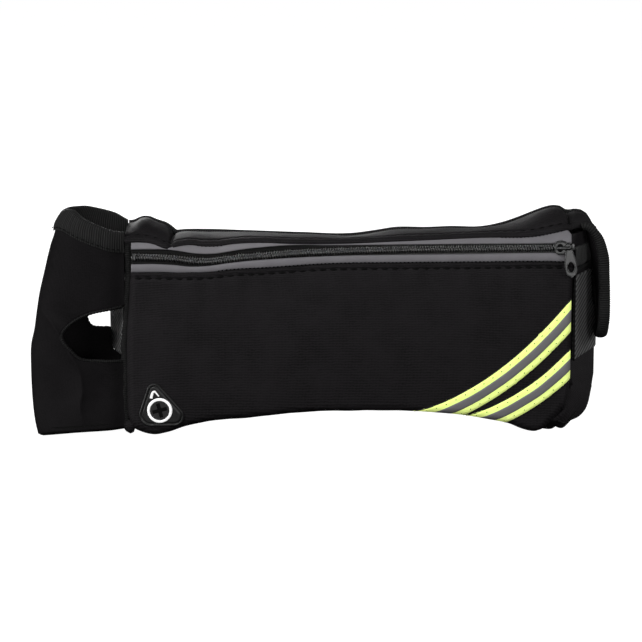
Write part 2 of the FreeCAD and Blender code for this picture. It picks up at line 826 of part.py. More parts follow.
def side_flap():
    """Padded flap, its woven edge and the hook tape on its inner face."""
    near = size("flap_front")
    far = near + size("flap_depth")
    edge = 1.5
    whole = flap_profile(near, far - near).cut(flap_corner_cut(depth(near), depth(far)))
    inner = flap_profile(near + edge, far - near - 2 * edge)
    inner = inner.cut(flap_corner_cut(depth(near + edge), depth(far - edge)))
    raised = Part.makeBox(60, 60, 200, Vector(130, depth(near) - 5, size("flap_low") + edge))
    inner = inner.common(raised)
    shape_part("side_flap", inner)
    shape_part("flap_binding", whole.cut(inner))
    face = size("flap_outer") - size("flap_thick")
    patch = Part.makeBox(0.8, 16.0, 18.0, Vector(face - 0.8, depth(near + 8.0), size("flap_low") + 10.0))
    shape_part("flap_hook_tape", patch)


# ---------------------------------------------------------------- build and export

def build_all():
    front_panel()
    back_panel()
    top_panel()
    bottom_gusset()
    left_gusset()
    right_gusset()
    zip_strips()
    zip_end_stops()
    zip_slider()
    pull_tab()
    reflective_bands()
    earphone_port()
    bottle_sleeve()
    sleeve_hem()
    sleeve_base()
    left_seam_binding()
    belt_strap_left()
    belt_strap_right()
    strap_keeper()
    buckle_female()
    buckle_male()
    latch_arms()
    on_right_gusset("gusset_elastic_band", -2.0, 36.0, 100.0, 12.5, 1.2)
    side_flap()


def export_all():
    doc.recompute()
    for thing in doc.Objects:
        if "Invalid" in thing.State or "Error" in thing.State:
            raise RuntimeError("%s is %s" % (thing.Label, thing.State))
    box = FreeCAD.BoundBox()
    for part in subparts:
        if part.Shape.isNull() or not part.Shape.isValid() or part.Shape.Volume <= 0:
            raise RuntimeError(part.Label + " has no valid shape")
        part.Shape.exportStep("parts/%s.step" % part.Label)
        tight = part.Shape.optimalBoundingBox()
        box.add(tight)
        print("%-22s %9.1f mm3" % (part.Label, part.Shape.Volume), tight)
    print("whole", box)


build_all()
export_all()
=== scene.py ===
import math

import bmesh
import bpy
import numpy as np
from mathutils import Matrix, Vector, noise


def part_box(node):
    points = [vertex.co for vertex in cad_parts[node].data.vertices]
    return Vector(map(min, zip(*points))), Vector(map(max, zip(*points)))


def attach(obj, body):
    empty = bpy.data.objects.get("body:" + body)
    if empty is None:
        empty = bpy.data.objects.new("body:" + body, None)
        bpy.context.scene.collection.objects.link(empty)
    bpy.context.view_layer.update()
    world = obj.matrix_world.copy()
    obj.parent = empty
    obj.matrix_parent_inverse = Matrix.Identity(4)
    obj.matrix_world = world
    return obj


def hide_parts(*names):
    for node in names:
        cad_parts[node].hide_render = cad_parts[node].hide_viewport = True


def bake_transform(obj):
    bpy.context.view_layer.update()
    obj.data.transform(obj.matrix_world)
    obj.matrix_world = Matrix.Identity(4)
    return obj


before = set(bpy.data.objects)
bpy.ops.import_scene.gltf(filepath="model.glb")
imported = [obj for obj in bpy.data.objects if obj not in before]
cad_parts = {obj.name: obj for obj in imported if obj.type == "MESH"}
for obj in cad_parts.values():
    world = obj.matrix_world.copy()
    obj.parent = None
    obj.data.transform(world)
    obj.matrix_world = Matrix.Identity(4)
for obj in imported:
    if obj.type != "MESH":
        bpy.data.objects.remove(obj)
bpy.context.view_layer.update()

# Lengths are in millimetres, in the frame's own axes, and MM turns them into metres. The floor's, the
# lamps' and the camera's are in metres already.
MM = 0.001


def box_mm(node):
    low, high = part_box(node)
    return np.array(low) / MM, np.array(high) / MM


FRONT_LOW, FRONT_HIGH = box_mm("front_panel")
BACK_LOW, BACK_HIGH = box_mm("back_panel")
SLEEVE_LOW, SLEEVE_HIGH = box_mm("bottle_sleeve")
BELT_LOW, BELT_HIGH = box_mm("belt_strap_right")
FLAP_LOW, FLAP_HIGH = box_mm("flap_binding")
FRONT_Y = FRONT_LOW[1]
BACK_Y = BACK_HIGH[1]
LEFT_X = FRONT_LOW[0]
RIGHT_X = FRONT_HIGH[0]
SEAM_X = SLEEVE_HIGH[0]
MIDDLE_Y = (SLEEVE_LOW[1] + SLEEVE_HIGH[1]) / 2


# ---------------------------------------------------------------- curves

def smooth_line(*points):
    """Smooth function through a few (place, value) points, flat beyond its ends."""
    xs = np.array([p[0] for p in points], float)
    ys = np.array([p[1] for p in points], float)
    slopes = np.gradient(ys, xs)

    def value(x):
        x = np.clip(np.asarray(x, float), xs[0], xs[-1])
        i = np.clip(np.searchsorted(xs, x) - 1, 0, len(xs) - 2)
        step = xs[i + 1] - xs[i]
        t = (x - xs[i]) / step
        t2, t3 = t * t, t * t * t
        return (
            (2 * t3 - 3 * t2 + 1) * ys[i]
            + (t3 - 2 * t2 + t) * step * slopes[i]
            + (3 * t2 - 2 * t3) * ys[i + 1]
            + (t3 - t2) * step * slopes[i + 1]
        )

    return value


def bump_at(x, centre, spread):
    """Bell curve of height 1."""
    return np.exp(-(((np.asarray(x, float) - centre) / spread) ** 2))


def roll(distance, radius):
    """How far a rounded edge has turned back at this distance from it."""
    inside = np.clip(distance, 0, radius)
    return radius - np.sqrt(radius**2 - (radius - inside) ** 2)


def dense_ends(count, strength=0.85):
    """Numbers from 0 to 1 that lie closer together towards both ends."""
    t = np.linspace(0, 1, count)
    return t - strength * np.sin(2 * np.pi * t) / (2 * np.pi)


def ripples(x, y, z, scale, seed):
    """Smooth repeatable unevenness, about -1 to 1, over arrays of places."""
    flat = np.stack([np.ravel(a) for a in np.broadcast_arrays(x, y, z)], 1) / scale + seed
    return np.array([noise.noise(Vector(p)) for p in flat]).reshape(np.broadcast(x, y, z).shape)


def lengths(path):
    """Distance along a polyline at each of its points."""
    return np.r_[0, np.cumsum(np.linalg.norm(np.diff(path, axis=0), axis=1))]


def directions(path):
    """Unit tangents along a path."""
    tangents = np.gradient(path, axis=0)
    return tangents / np.linalg.norm(tangents, axis=1)[:, None]


def resample(path, count):
    """Points evenly spaced along a polyline."""
    path = np.asarray(path, float)
    run = lengths(path)
    at = np.linspace(0, run[-1], count)
    return np.stack([np.interp(at, run, path[:, k]) for k in range(path.shape[1])], 1)


# ---------------------------------------------------------------- outlines of the pouch

bottom_edge = smooth_line(
    (-116, 10), (-112.5, 5), (-108, 2.4), (-100, 0.2), (-92, 1.7), (-84, 4.6), (-70, 7.8), (-43, 10.6),
    (-14, 13.6), (21, 14.8), (60, 14.3), (84, 12.2), (99, 9.6), (110, 7.2), (119, 3.8), (126, 2.5),
    (130, 3.4), (134.5, 7.2), (141, 14.2), (144.6, 20), (146.2, 27),
)
left_edge = smooth_line((5, -115.8), (30, -116), (60, -115.6), (100, -113.2), (130, -113))
welt_bottom = smooth_line(
    (-116, 98.2), (-99, 98.3), (-75, 98.1), (-66, 98.5), (-55, 99.8), (-34, 101.0), (4, 103.5), (46, 104.1),
    (93, 104.5), (128, 104.8), (147, 104.4),
)
welt_top = smooth_line(
    (-116, 103.0), (-99, 103.3), (-88, 102.8), (-77, 101.8), (-67, 102.2), (-56, 103.7), (-45, 105.0),
    (-34, 105.9), (4, 108.0), (46, 108.8), (93, 109.3), (128, 109.9), (147, 110.0),
)
coil_line = smooth_line(
    (-116, 107.6), (-100, 107.2), (-88, 106.7), (-78, 105.4), (-69, 104.9), (-61, 105.5), (-50, 106.9),
    (-34, 108.2), (-19, 109.6), (4, 110.7), (46, 111.9), (93, 112.4), (128, 112.8), (150, 113.2),
)
lip_bottom = smooth_line(
    (-116, 111.8), (-100, 112.0), (-91, 111.8), (-83, 110.8), (-77, 109.8), (-69, 109.2), (-61, 109.6),
    (-55, 110.6), (-47, 111.9), (-34, 113.3), (-19, 114.4), (4, 114.4), (46, 114.8), (93, 115.2),
    (128, 115.4), (147, 115.8),
)
lip_top = smooth_line(
    (-116, 116.2), (-107, 116.6), (-99, 115.6), (-94, 113.7), (-90.5, 112.8), (-86, 114.0), (-79, 115.0),
    (-69, 114.2), (-61, 114.4), (-53, 115.6), (-34, 116.4), (-19, 115.9), (4, 115.8), (46, 117.4),
    (93, 119.4), (128, 120.6), (138, 122.6), (143, 123.6), (148, 123.9), (152, 123.2), (157, 121.6),
    (162, 119.0),
)
rear_top = smooth_line(
    (-116, 122.0), (-112, 122.4), (-108.5, 124.4), (-105.5, 124.8), (-99.7, 122.6), (-92, 119.6),
    (-88.5, 116.2), (-84, 116.5), (-70, 116.6), (-43, 115.8), (-14, 114.8), (20, 114.4), (33, 116.2),
    (43, 117.8), (62, 117.8), (77, 118.4), (96, 118.4), (110, 121.4), (120, 125.0), (129, 128.6),
    (137, 131.0), (141.5, 130.9), (145.4, 128.4), (152, 128.9), (157, 127.0), (160, 122.6), (162.5, 117.0),
)
STITCH_BELOW_WELT = 3.6
LIP_LEAN = 0.45
RIGHT_ROLL = 0.9
SEAM_GAP = 1.2
BACK_FLARE = 18.2


def front_y(x, z):
    """Depth of the front panel's face: a soft bulge that turns back at the panel's edges."""
    x = np.asarray(x, float)
    z = np.asarray(z, float)
    across = np.clip((x - LEFT_X) / (RIGHT_X - LEFT_X), 0, 1)
    low = bottom_edge(x)
    up = np.clip((z - low) / (welt_bottom(x) - low), 0, 1)
    bulge = 3.6 * (1 - (2 * across - 1) ** 4) * np.sin(np.pi * up) ** 0.7
    slope = np.clip(bottom_edge(x + 0.5) - bottom_edge(x - 0.5), -3, 3)
    edges = (
        roll(x - left_edge(z), 5.0) + roll(RIGHT_X + RIGHT_ROLL - x, 3.4)
        + roll((z - low) / np.sqrt(1 + slope**2), 5.0)
    )
    pull = bump_at(z, welt_bottom(x) - STITCH_BELOW_WELT, 1.2) * (0.75 + 0.25 * np.cos(2 * np.pi * x / 6.0))
    return FRONT_Y - bulge + edges + pull


def uneven_front(x, z):
    """Front panel's depth with the shallow dents and pulls of sewn neoprene."""
    slow = ripples(x, 0, z, 46.0, 3.1)
    fine = ripples(x, 0, z, 15.0, 7.7)
    near_top = bump_at(z, welt_bottom(x) - 6.0, 12.0)
    puckers = np.sin(x * 0.42 + 2.0 * slow) * 0.22 * near_top
    drag = 0.7 * bump_at(x, LEFT_X + 14, 13) * np.sin(z * 0.16 + 1.0)
    return front_y(x, z) + 0.7 * slow + 0.16 * fine + puckers + drag * 0.4


# ---------------------------------------------------------------- materials

def new_material(name, colour, roughness, metallic=0.0, sheen=0.0, sheen_roughness=0.5, coat=0.0, gloss=0.5):
    material = bpy.data.materials.new(name)
    material.use_nodes = True
    shader = material.node_tree.nodes["Principled BSDF"]
    shader.inputs["Base Color"].default_value = (*colour, 1)
    shader.inputs["Roughness"].default_value = roughness
    shader.inputs["Metallic"].default_value = metallic
    shader.inputs["Sheen Weight"].default_value = sheen
    shader.inputs["Sheen Roughness"].default_value = sheen_roughness
    shader.inputs["Coat Weight"].default_value = coat
    shader.inputs["Specular IOR Level"].default_value = gloss
    return material


class Nodes:
    """Short ways to add shader nodes to one material."""

    def __init__(self, material):
        self.tree = material.node_tree
        self.shader = self.tree.nodes["Principled BSDF"]

    def add(self, kind, **values):
        node = self.tree.nodes.new(kind)
        for key, value in values.items():
            setattr(node, key, value)
        return node

    def link(self, out, into):
        self.tree.links.new(out, into)

    def math(self, operation, a, b=None):
        node = self.add("ShaderNodeMath", operation=operation)
        for socket, value in zip(node.inputs, (a, b)):
            if value is None:
                continue
            if isinstance(value, (int, float)):
                socket.default_value = value
            else:
                self.link(value, socket)
        return node.outputs[0]

    def place(self):
        """Place on the object, in millimetres, as three sockets."""
        coordinates = self.add("ShaderNodeTexCoord")
        scale = self.add("ShaderNodeVectorMath", operation="SCALE")
        scale.inputs["Scale"].default_value = 1 / MM
        self.link(coordinates.outputs["Object"], scale.inputs[0])
        split = self.add("ShaderNodeSeparateXYZ")
        self.link(scale.outputs[0], split.inputs[0])
        return scale.outputs[0], split.outputs

    def weave(self):
        """Along and across a strip, in millimetres, from the piece's own UV map."""
        coordinates = self.add("ShaderNodeTexCoord")
        split = self.add("ShaderNodeSeparateXYZ")
        self.link(coordinates.outputs["UV"], split.inputs[0])
        return split.outputs

    def noise(self, vector, scale, detail=3.0, roughness=0.6):
        node = self.add("ShaderNodeTexNoise")
        node.inputs["Scale"].default_value = scale
        node.inputs["Detail"].default_value = detail
        node.inputs["Roughness"].default_value = roughness
        self.link(vector, node.inputs["Vector"])
        return node.outputs["Fac"]

    def ribs(self, coordinate, pitch):
        """Rounded ribs, 0 to 1, one for each pitch along a coordinate."""
        wave = self.math("SINE", self.math("MULTIPLY", coordinate, 2 * math.pi / pitch))
        return self.math("ADD", self.math("MULTIPLY", wave, 0.5), 0.5)

    def bump(self, height, strength, distance_mm, normal=None):
        node = self.add("ShaderNodeBump")
        node.inputs["Strength"].default_value = strength
        node.inputs["Distance"].default_value = distance_mm * MM
        self.link(height, node.inputs["Height"])
        if normal is not None:
            self.link(normal, node.inputs["Normal"])
        return node.outputs["Normal"]

    def shade(self, factor, dark, light):
        """Base colour between two colours."""
        mix = self.add("ShaderNodeMix", data_type="RGBA")
        mix.inputs["A"].default_value = (*dark, 1)
        mix.inputs["B"].default_value = (*light, 1)
        self.link(factor, mix.inputs["Factor"])
        self.link(mix.outputs["Result"], self.shader.inputs["Base Color"])

    def spread(self, factor, low, high):
        node = self.add("ShaderNodeMapRange")
        node.inputs["To Min"].default_value = low
        node.inputs["To Max"].default_value = high
        self.link(factor, node.inputs["Value"])
        return node.outputs[0]

    def normal(self, normal):
        self.link(normal, self.shader.inputs["Normal"])

    def rough(self, factor, low, high):
        self.link(self.spread(factor, low, high), self.shader.inputs["Roughness"])


def neoprene(name, grey, pitch, rib_depth, sheen, gloss=0.1):
    """Knitted polyester face on neoprene foam: fine level lines, lint and faint blotches."""
    material = new_material(name, (grey, grey, grey), 0.7, sheen=sheen, sheen_roughness=0.4, gloss=gloss)
    n = Nodes(material)
    place, axis = n.place()
    wobble = n.noise(place, 0.35, 2.0)
    level = n.math("ADD", axis["Z"], n.math("MULTIPLY", axis["Y"], 0.9))
    lines = n.ribs(n.math("ADD", level, n.math("MULTIPLY", wobble, 1.6)), pitch)
    stitches = n.ribs(n.math("ADD", axis["X"], n.math("MULTIPLY", axis["Y"], 1.0)), pitch * 1.3)
    knit = n.math("ADD", n.math("MULTIPLY", lines, 0.8), n.math("MULTIPLY", stitches, 0.2))
    lint = n.noise(place, 1.1, 4.0, 0.75)
    blotch = n.noise(place, 0.045, 3.0)
    tone = n.math(
        "ADD", n.math("MULTIPLY", knit, 0.3), n.math("MULTIPLY", n.math("ADD", blotch, lint), 0.42),
    )
    n.shade(n.spread(tone, -0.9, 2.1), (grey * 0.3,) * 3, (grey * 2.0, grey * 1.8, grey * 2.0))
    n.rough(lint, 0.58, 0.86)
    soft = n.bump(n.noise(place, 0.25, 2.0), 0.3, 0.6)
    n.normal(n.bump(n.math("ADD", knit, n.math("MULTIPLY", lint, 1.2)), 0.7, rib_depth, soft))
    return material


def ribbed_fabric(name, grey, pitch, depth, cross_pitch=0.0, slant=0.0, sheen=0.02, contrast=1.0):
    """Ribs across a strip's length, upright or slanted as twill."""
    material = new_material(name, (grey, grey, grey), 0.7, sheen=sheen, gloss=0.12)
    n = Nodes(material)
    along, across, _ = n.weave()
    place, _axis = n.place()
    phase = n.math("ADD", along, n.math("MULTIPLY", across, slant))
    ribs = n.ribs(phase, pitch)
    height = ribs
    if cross_pitch:
        height = n.math("ADD", ribs, n.math("MULTIPLY", n.ribs(across, cross_pitch), 0.35))
    fuzz = n.noise(place, 2.0, 3.0)
    tone = n.math("ADD", n.math("MULTIPLY", ribs, 0.85), n.math("MULTIPLY", fuzz, 0.25))
    n.shade(tone, (grey * 0.12 / contrast,) * 3, (grey * 1.9 * contrast,) * 3)
    n.rough(fuzz, 0.55, 0.85)
    n.normal(n.bump(n.math("ADD", height, n.math("MULTIPLY", fuzz, 0.25)), 0.9, depth))
    return material


def zip_tape_weave(name, grey, lit_grey):
    """Cords along the tape; its colour is painted lighter towards the right, as painted light where the
    mouth opens to the lamps.
    """
    material = new_material(name, (grey, grey, grey), 0.6, gloss=0.12)
    n = Nodes(material)
    place, axis = n.place()
    fuzz = n.noise(place, 2.0, 3.0)
    cords = n.ribs(axis["Z"], 0.95)
    # Painted light: the colour lightens from left to right along the tape, standing in for light falling
    # into the open mouth.
    painted_light_share = n.add("ShaderNodeMapRange", interpolation_type="SMOOTHSTEP")
    painted_light_share.inputs["From Min"].default_value = -20.0
    painted_light_share.inputs["From Max"].default_value = 110.0
    n.link(axis["X"], painted_light_share.inputs["Value"])
    tone = n.math(
        "MULTIPLY", painted_light_share.outputs[0],
        n.math("ADD", n.math("MULTIPLY", cords, 0.75), n.math("MULTIPLY", fuzz, 0.35)),
    )
    n.shade(tone, (grey * 0.7,) * 3, (lit_grey * 1.3,) * 3)
    n.normal(n.bump(n.math("ADD", cords, fuzz), 0.7, 0.1))
    return material


def spacer_mesh(name, grey, pitch):
    """Open knitted mesh with staggered round holes over a dark ground."""
    material = new_material(name, (grey, grey, grey), 0.8, gloss=0.1)
    n = Nodes(material)
    place, axis = n.place()
    slant = n.math("MULTIPLY", axis["Z"], 0.577)
    first = n.ribs(n.math("ADD", axis["X"], slant), pitch)
    second = n.ribs(n.math("SUBTRACT", axis["X"], slant), pitch)
    level = n.ribs(axis["Z"], pitch * 0.866)
    holes = n.math("MULTIPLY", n.math("MULTIPLY", first, second), level)
    knit = n.math("POWER", n.math("SUBTRACT", 1.0, holes), 2.5)
    fuzz = n.noise(place, 1.5, 3.0)
    n.shade(n.math("MULTIPLY", knit, n.spread(fuzz, 0.6, 1.3)), (grey * 0.08,) * 3, (grey * 1.5,) * 3)
    n.normal(n.bump(knit, 0.9, 0.7))
    return material


def reflective(name, colour, weave_pitch, metallic):
    """Coated tape: fine beads that break up an even, slightly metallic grey."""
    material = new_material(name, colour, 0.5, metallic=metallic, gloss=0.1)
    n = Nodes(material)
    place, _axis = n.place()
    beads = n.noise(place, 6.0, 2.0)
    scuffs = n.noise(place, 0.12, 4.0)
    tone = n.math("ADD", n.math("MULTIPLY", beads, 0.5), n.math("MULTIPLY", scuffs, 0.6))
    n.shade(tone, tuple(c * 0.72 for c in colour), tuple(c * 1.25 for c in colour))
    n.rough(scuffs, 0.4, 0.62)
    n.normal(n.bump(beads, 0.3, weave_pitch))
    return material


def fluorescent(name, colour):
    """Bright woven ribbon with fine ribs across it."""
    material = new_material(name, colour, 0.65, gloss=0.1)
    n = Nodes(material)
    along, across, _ = n.weave()
    place, _axis = n.place()
    ribs = n.ribs(along, 0.8)
    threads = n.ribs(across, 0.6)
    cloud = n.noise(place, 0.3, 2.0)
    tone = n.math("ADD", n.math("MULTIPLY", ribs, 0.4), n.math("MULTIPLY", cloud, 0.6))
    red, green, blue = colour
    n.shade(tone, (red * 0.84, green * 0.94, blue * 0.35), (red * 1.12, green, blue * 1.5))
    n.rough(cloud, 0.55, 0.8)
    n.normal(n.bump(n.math("ADD", ribs, n.math("MULTIPLY", threads, 0.5)), 0.5, 0.12))
    # Painted glow: a steady emission brightens the ribbon beyond what the lamps give it.
    n.shader.inputs["Emission Color"].default_value = (*colour, 1)
    n.shader.inputs["Emission Strength"].default_value = 0.28
    return material


def plastic(name, grey, roughness, grain, depth, coat=0.0, metallic=0.0, gloss=0.3):
    """Moulded or cast surface with a fine grain and light handling marks."""
    material = new_material(name, (grey, grey, grey), roughness, coat=coat, metallic=metallic, gloss=gloss)
    n = Nodes(material)
    place, _axis = n.place()
    fine = n.noise(place, grain, 2.0)
    marks = n.noise(place, 0.4, 5.0, 0.7)
    n.shade(marks, (grey * 0.75,) * 3, (min(1.0, grey * 1.3),) * 3)
    n.rough(marks, max(0.05, roughness - 0.1), roughness + 0.12)
    n.normal(n.bump(fine, 0.35, depth))
    return material


def white_rubber():
    material = plastic("white_rubber", 0.92, 0.5, 3.5, 0.02)
    shader = material.node_tree.nodes["Principled BSDF"]
    # Painted glow: a steady emission keeps the white rubber bright beyond what the lamps give it.
    shader.inputs["Emission Color"].default_value = (1.0, 1.0, 1.0, 1)
    shader.inputs["Emission Strength"].default_value = 0.25
    return material


MATERIALS = {
    "neoprene": neoprene("pouch_neoprene", 0.0058, 1.5, 0.17, 0.003, gloss=0.085),
    "side_neoprene": neoprene("side_neoprene", 0.0085, 1.3, 0.16, 0.01),
    "sleeve": neoprene("sleeve_neoprene", 0.0034, 0.8, 0.05, 0.002, gloss=0.05),
    "seam": ribbed_fabric("seam_overlock", 0.005, 1.1, 0.2, sheen=0.0),
    "back_mesh": spacer_mesh("back_spacer_mesh", 0.02, 3.4),
    "inside": neoprene("inside_neoprene", 0.006, 0.8, 0.05, 0.0),
    "rib_elastic": ribbed_fabric("rib_elastic", 0.007, 1.5, 0.30, contrast=1.2),
    "gusset_elastic": ribbed_fabric("gusset_elastic", 0.02, 2.4, 0.35, contrast=1.6),
    "binding": ribbed_fabric("binding_grosgrain", 0.008, 1.4, 0.2, contrast=1.1),
    "webbing": ribbed_fabric("twill_webbing", 0.026, 8.0, 0.7, slant=-2.7, contrast=3.0),
    "zip_tape": zip_tape_weave("zip_tape_weave", 0.006, 0.085),
    "reflective_grey": reflective("reflective_welt", (0.145, 0.14, 0.15), 0.04, 0.1),
    "silver_film": reflective("silver_film", (0.155, 0.152, 0.158), 0.05, 0.1),
    "fluorescent_yellow": fluorescent("yellow_ribbon", (0.84, 1.0, 0.3)),
    "ribbon_edge": plastic("ribbon_edge", 0.02, 0.7, 4.0, 0.05, gloss=0.05),
    # Near-black thread, also used for pieces that paint shade: the disc behind the port slit, the slider
    # recess, the top crease and the sleeve's base edge.
    "thread": plastic("black_thread_and_shade", 0.003, 0.7, 4.0, 0.05, gloss=0.05),
    "coil_nylon": plastic("coil_nylon", 0.006, 0.25, 4.0, 0.02, coat=0.7, gloss=0.8),
    "zip_metal": plastic("gunmetal", 0.055, 0.3, 3.0, 0.02, metallic=0.9),
    "port_rubber": plastic("port_rubber", 0.0095, 0.42, 3.5, 0.03, gloss=0.35),
    "port_membrane": plastic("port_membrane", 0.018, 0.5, 3.5, 0.03, gloss=0.2),
    "ring_white": white_rubber(),
    "buckle_plastic": plastic("acetal", 0.014, 0.42, 5.0, 0.05),
    "hook_tape": ribbed_fabric("hook_tape", 0.012, 1.4, 0.3, cross_pitch=1.4),
}


# ---------------------------------------------------------------- mesh helpers

def new_object(name, data):
    """Object with this data, linked into the scene."""
    thing = bpy.data.objects.new(name, data)
    bpy.context.scene.collection.objects.link(thing)
    return thing


def applied(thing):
    """New mesh of an object with its modifiers carried out."""
    graph = bpy.context.evaluated_depsgraph_get()
    return bpy.data.meshes.new_from_object(thing.evaluated_get(graph))


def add_piece(name, mesh, material, body, nodes=()):
    """Object that rides on a body and stands for these CAD nodes."""
    thing = new_object(name, mesh)
    mesh.materials.append(MATERIALS[material])
    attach(thing, body)
    if nodes:
        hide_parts(*nodes)
    return thing


def smooth(mesh):
    mesh.polygons.foreach_set("use_smooth", [True] * len(mesh.polygons))


def mesh_from(name, points, faces, weave=None):
    mesh = bpy.data.meshes.new(name)
    mesh.from_pydata((np.asarray(points) * MM).tolist(), [], faces)
    if weave is not None:
        corners = np.zeros(len(mesh.loops), np.int32)
        mesh.loops.foreach_get("vertex_index", corners)
        flat = np.asarray(weave, np.float32).reshape(-1, 3)[corners, :2]
        mesh.uv_layers.new(name="weave").data.foreach_set("uv", flat.ravel())
    smooth(mesh)
    mesh.update()
    return mesh


def grid_faces(rows, columns, closed=False, start=0):
    faces = []
    last = columns if closed else columns - 1
    for i in range(rows - 1):
        for j in range(last):
            k = (j + 1) % columns
            a, b = start + i * columns + j, start + i * columns + k
            faces.append((a, b, b + columns, a + columns))
    return faces


def sheet_mesh(name, points, outward):
    """Open surface from a grid of places, facing outward, with its weave coordinates in millimetres."""
    points = np.asarray(points, float)
    rows, columns = points.shape[:2]
    faces = grid_faces(rows, columns)
    down = points[rows // 2 + 1, columns // 2] - points[rows // 2 - 1, columns // 2]
    over = points[rows // 2, columns // 2 + 1] - points[rows // 2, columns // 2 - 1]
    if np.dot(np.cross(over, down), outward) < 0:
        faces = [f[::-1] for f in faces]
    along = lengths(points[:, columns // 2])[:, None] * np.ones((1, columns))
    across = lengths(points[rows // 2])[None, :] * np.ones((rows, 1))
    weave = np.stack([along, across, np.zeros((rows, columns))], -1).reshape(-1, 3)
    return mesh_from(name, points.reshape(-1, 3), faces, weave)


def thicken(thing, thickness, offset=-1.0):
    """Gives an open surface its cloth's thickness."""
    solidify = thing.modifiers.new("thickness", "SOLIDIFY")
    solidify.thickness = thickness * MM
    solidify.offset = offset
    solidify.use_even_offset = False


def tube_mesh(name, path, radii, sides=8, normals=None, caps=True):
    """Closed tube along a path; radii is (sideways, along the normal) for each point or for all."""
    path = np.asarray(path, float)
    count = len(path)
    radii = np.broadcast_to(np.asarray(radii, float), (count, 2))
    tangents = directions(path)
    normals = np.broadcast_to(
        np.asarray((0.0, -1.0, 0.0) if normals is None else normals, float), (count, 3),
    )
    normals = normals - (normals * tangents).sum(1)[:, None] * tangents
    normals = normals / np.linalg.norm(normals, axis=1)[:, None]
    sideways = np.cross(tangents, normals)
    turn = np.linspace(0, 2 * np.pi, sides, endpoint=False)
    rings = (
        path[:, None]
        + sideways[:, None] * (radii[:, None, :1] * np.cos(turn)[None, :, None])
        + normals[:, None] * (radii[:, None, 1:] * np.sin(turn)[None, :, None])
    )
    faces = grid_faces(count, sides, closed=True)
    if caps:
        faces.append(tuple(range(sides))[::-1])
        faces.append(tuple(range((count - 1) * sides, count * sides)))
    run = lengths(path)
    weave = np.zeros((count, sides, 3))
    weave[..., 0] = run[:, None]
    weave[..., 1] = (turn / (2 * np.pi) * 4)[None]
    return mesh_from(name, rings.reshape(-1, 3), faces, weave.reshape(-1, 3))


def add_tube(name, path, radii, sides, material, normals=None, nodes=()):
    """Tube that rides on the pack."""
    mesh = tube_mesh(name, path, radii, sides, normals)
    return add_piece(name, mesh, material, "pack", nodes)


def join_meshes(name, meshes):
    """One mesh from several, with their weave coordinates."""
    points, faces, weave = [], [], []
    base = 0
    for mesh in meshes:
        co = np.zeros(len(mesh.vertices) * 3)
        mesh.vertices.foreach_get("co", co)
        points.append(co.reshape(-1, 3) / MM)
        faces += [tuple(base + i for i in p.vertices) for p in mesh.polygons]
        corners = np.zeros(len(mesh.loops), np.int32)
        mesh.loops.foreach_get("vertex_index", corners)
        uv = np.zeros(len(mesh.loops) * 2, np.float32)
        mesh.uv_layers["weave"].data.foreach_get("uv", uv)
        values = np.zeros((len(mesh.vertices), 3), np.float32)
        values[corners, :2] = uv.reshape(-1, 2)
        weave.append(values)
        base += len(mesh.vertices)
        bpy.data.meshes.remove(mesh)
    return mesh_from(name, np.concatenate(points), faces, np.concatenate(weave))


def stitch_row(
    name, path, body, pitch=5.6, length=4.2, width=0.42, lift=0.1, normal=(0, -1, 0), material="thread",
):
    """Row of short thread stitches that follow a path and dip at both ends."""
    path = np.asarray(path, float)
    total = lengths(path)[-1]
    count = max(1, int(total / pitch))
    normal = np.asarray(normal, float)
    run = lengths(path)
    meshes = []
    for k in range(count):
        start = (k + 0.5) * total / count - length / 2
        at = np.linspace(start, start + length, 7)
        points = np.stack([np.interp(at, run, path[:, i]) for i in range(3)], 1)
        arch = np.sin(np.linspace(0, np.pi, 7))
        points = points + normal * (lift + 0.35 * arch - 0.3)[:, None]
        radius = width * (0.35 + 0.65 * arch)
        meshes.append(tube_mesh("stitch", points, np.stack([radius, radius * 0.7], 1), 6, normal))
    return add_piece(name, join_meshes(name, meshes), material, body)


def face_out(mesh):
    """Turns every face of a closed mesh outwards."""
    work = bmesh.new()
    work.from_mesh(mesh)
    bmesh.ops.recalc_face_normals(work, faces=work.faces)
    work.to_mesh(mesh)
    work.free()


def boolean_cut(thing, cutter):
    """Cuts one object with another for good, and removes the cutter."""
    cut = thing.modifiers.new("cut", "BOOLEAN")
    cut.operation = "DIFFERENCE"
    cut.solver = "EXACT"
    cut.object = cutter
    bpy.context.view_layer.update()
    result = applied(thing)
    thing.modifiers.clear()
    old = thing.data
    thing.data = result
    bpy.data.meshes.remove(old)
    bpy.data.objects.remove(cutter)


# ---------------------------------------------------------------- pouch

def front_panel():
    columns = LEFT_X + (RIGHT_X + RIGHT_ROLL - LEFT_X) * dense_ends(250)
    rows = dense_ends(100, 0.8)
    x = np.repeat(columns[:, None], len(rows), 1)
    low = bottom_edge(x)
    z = low + (welt_bottom(x) + 1.2 - low) * rows[None]
    share = (x - LEFT_X) / (RIGHT_X - LEFT_X)
    x = x + (1 - share) ** 6 * (left_edge(z) - LEFT_X)
    y = uneven_front(x, z)
    points = np.stack([x, y, z], -1)
    mesh = sheet_mesh("pouch_front", points, (0, -1, 0))
    thicken(add_piece("pouch_front", mesh, "neoprene", "pack", ["front_panel"]), 2.2)


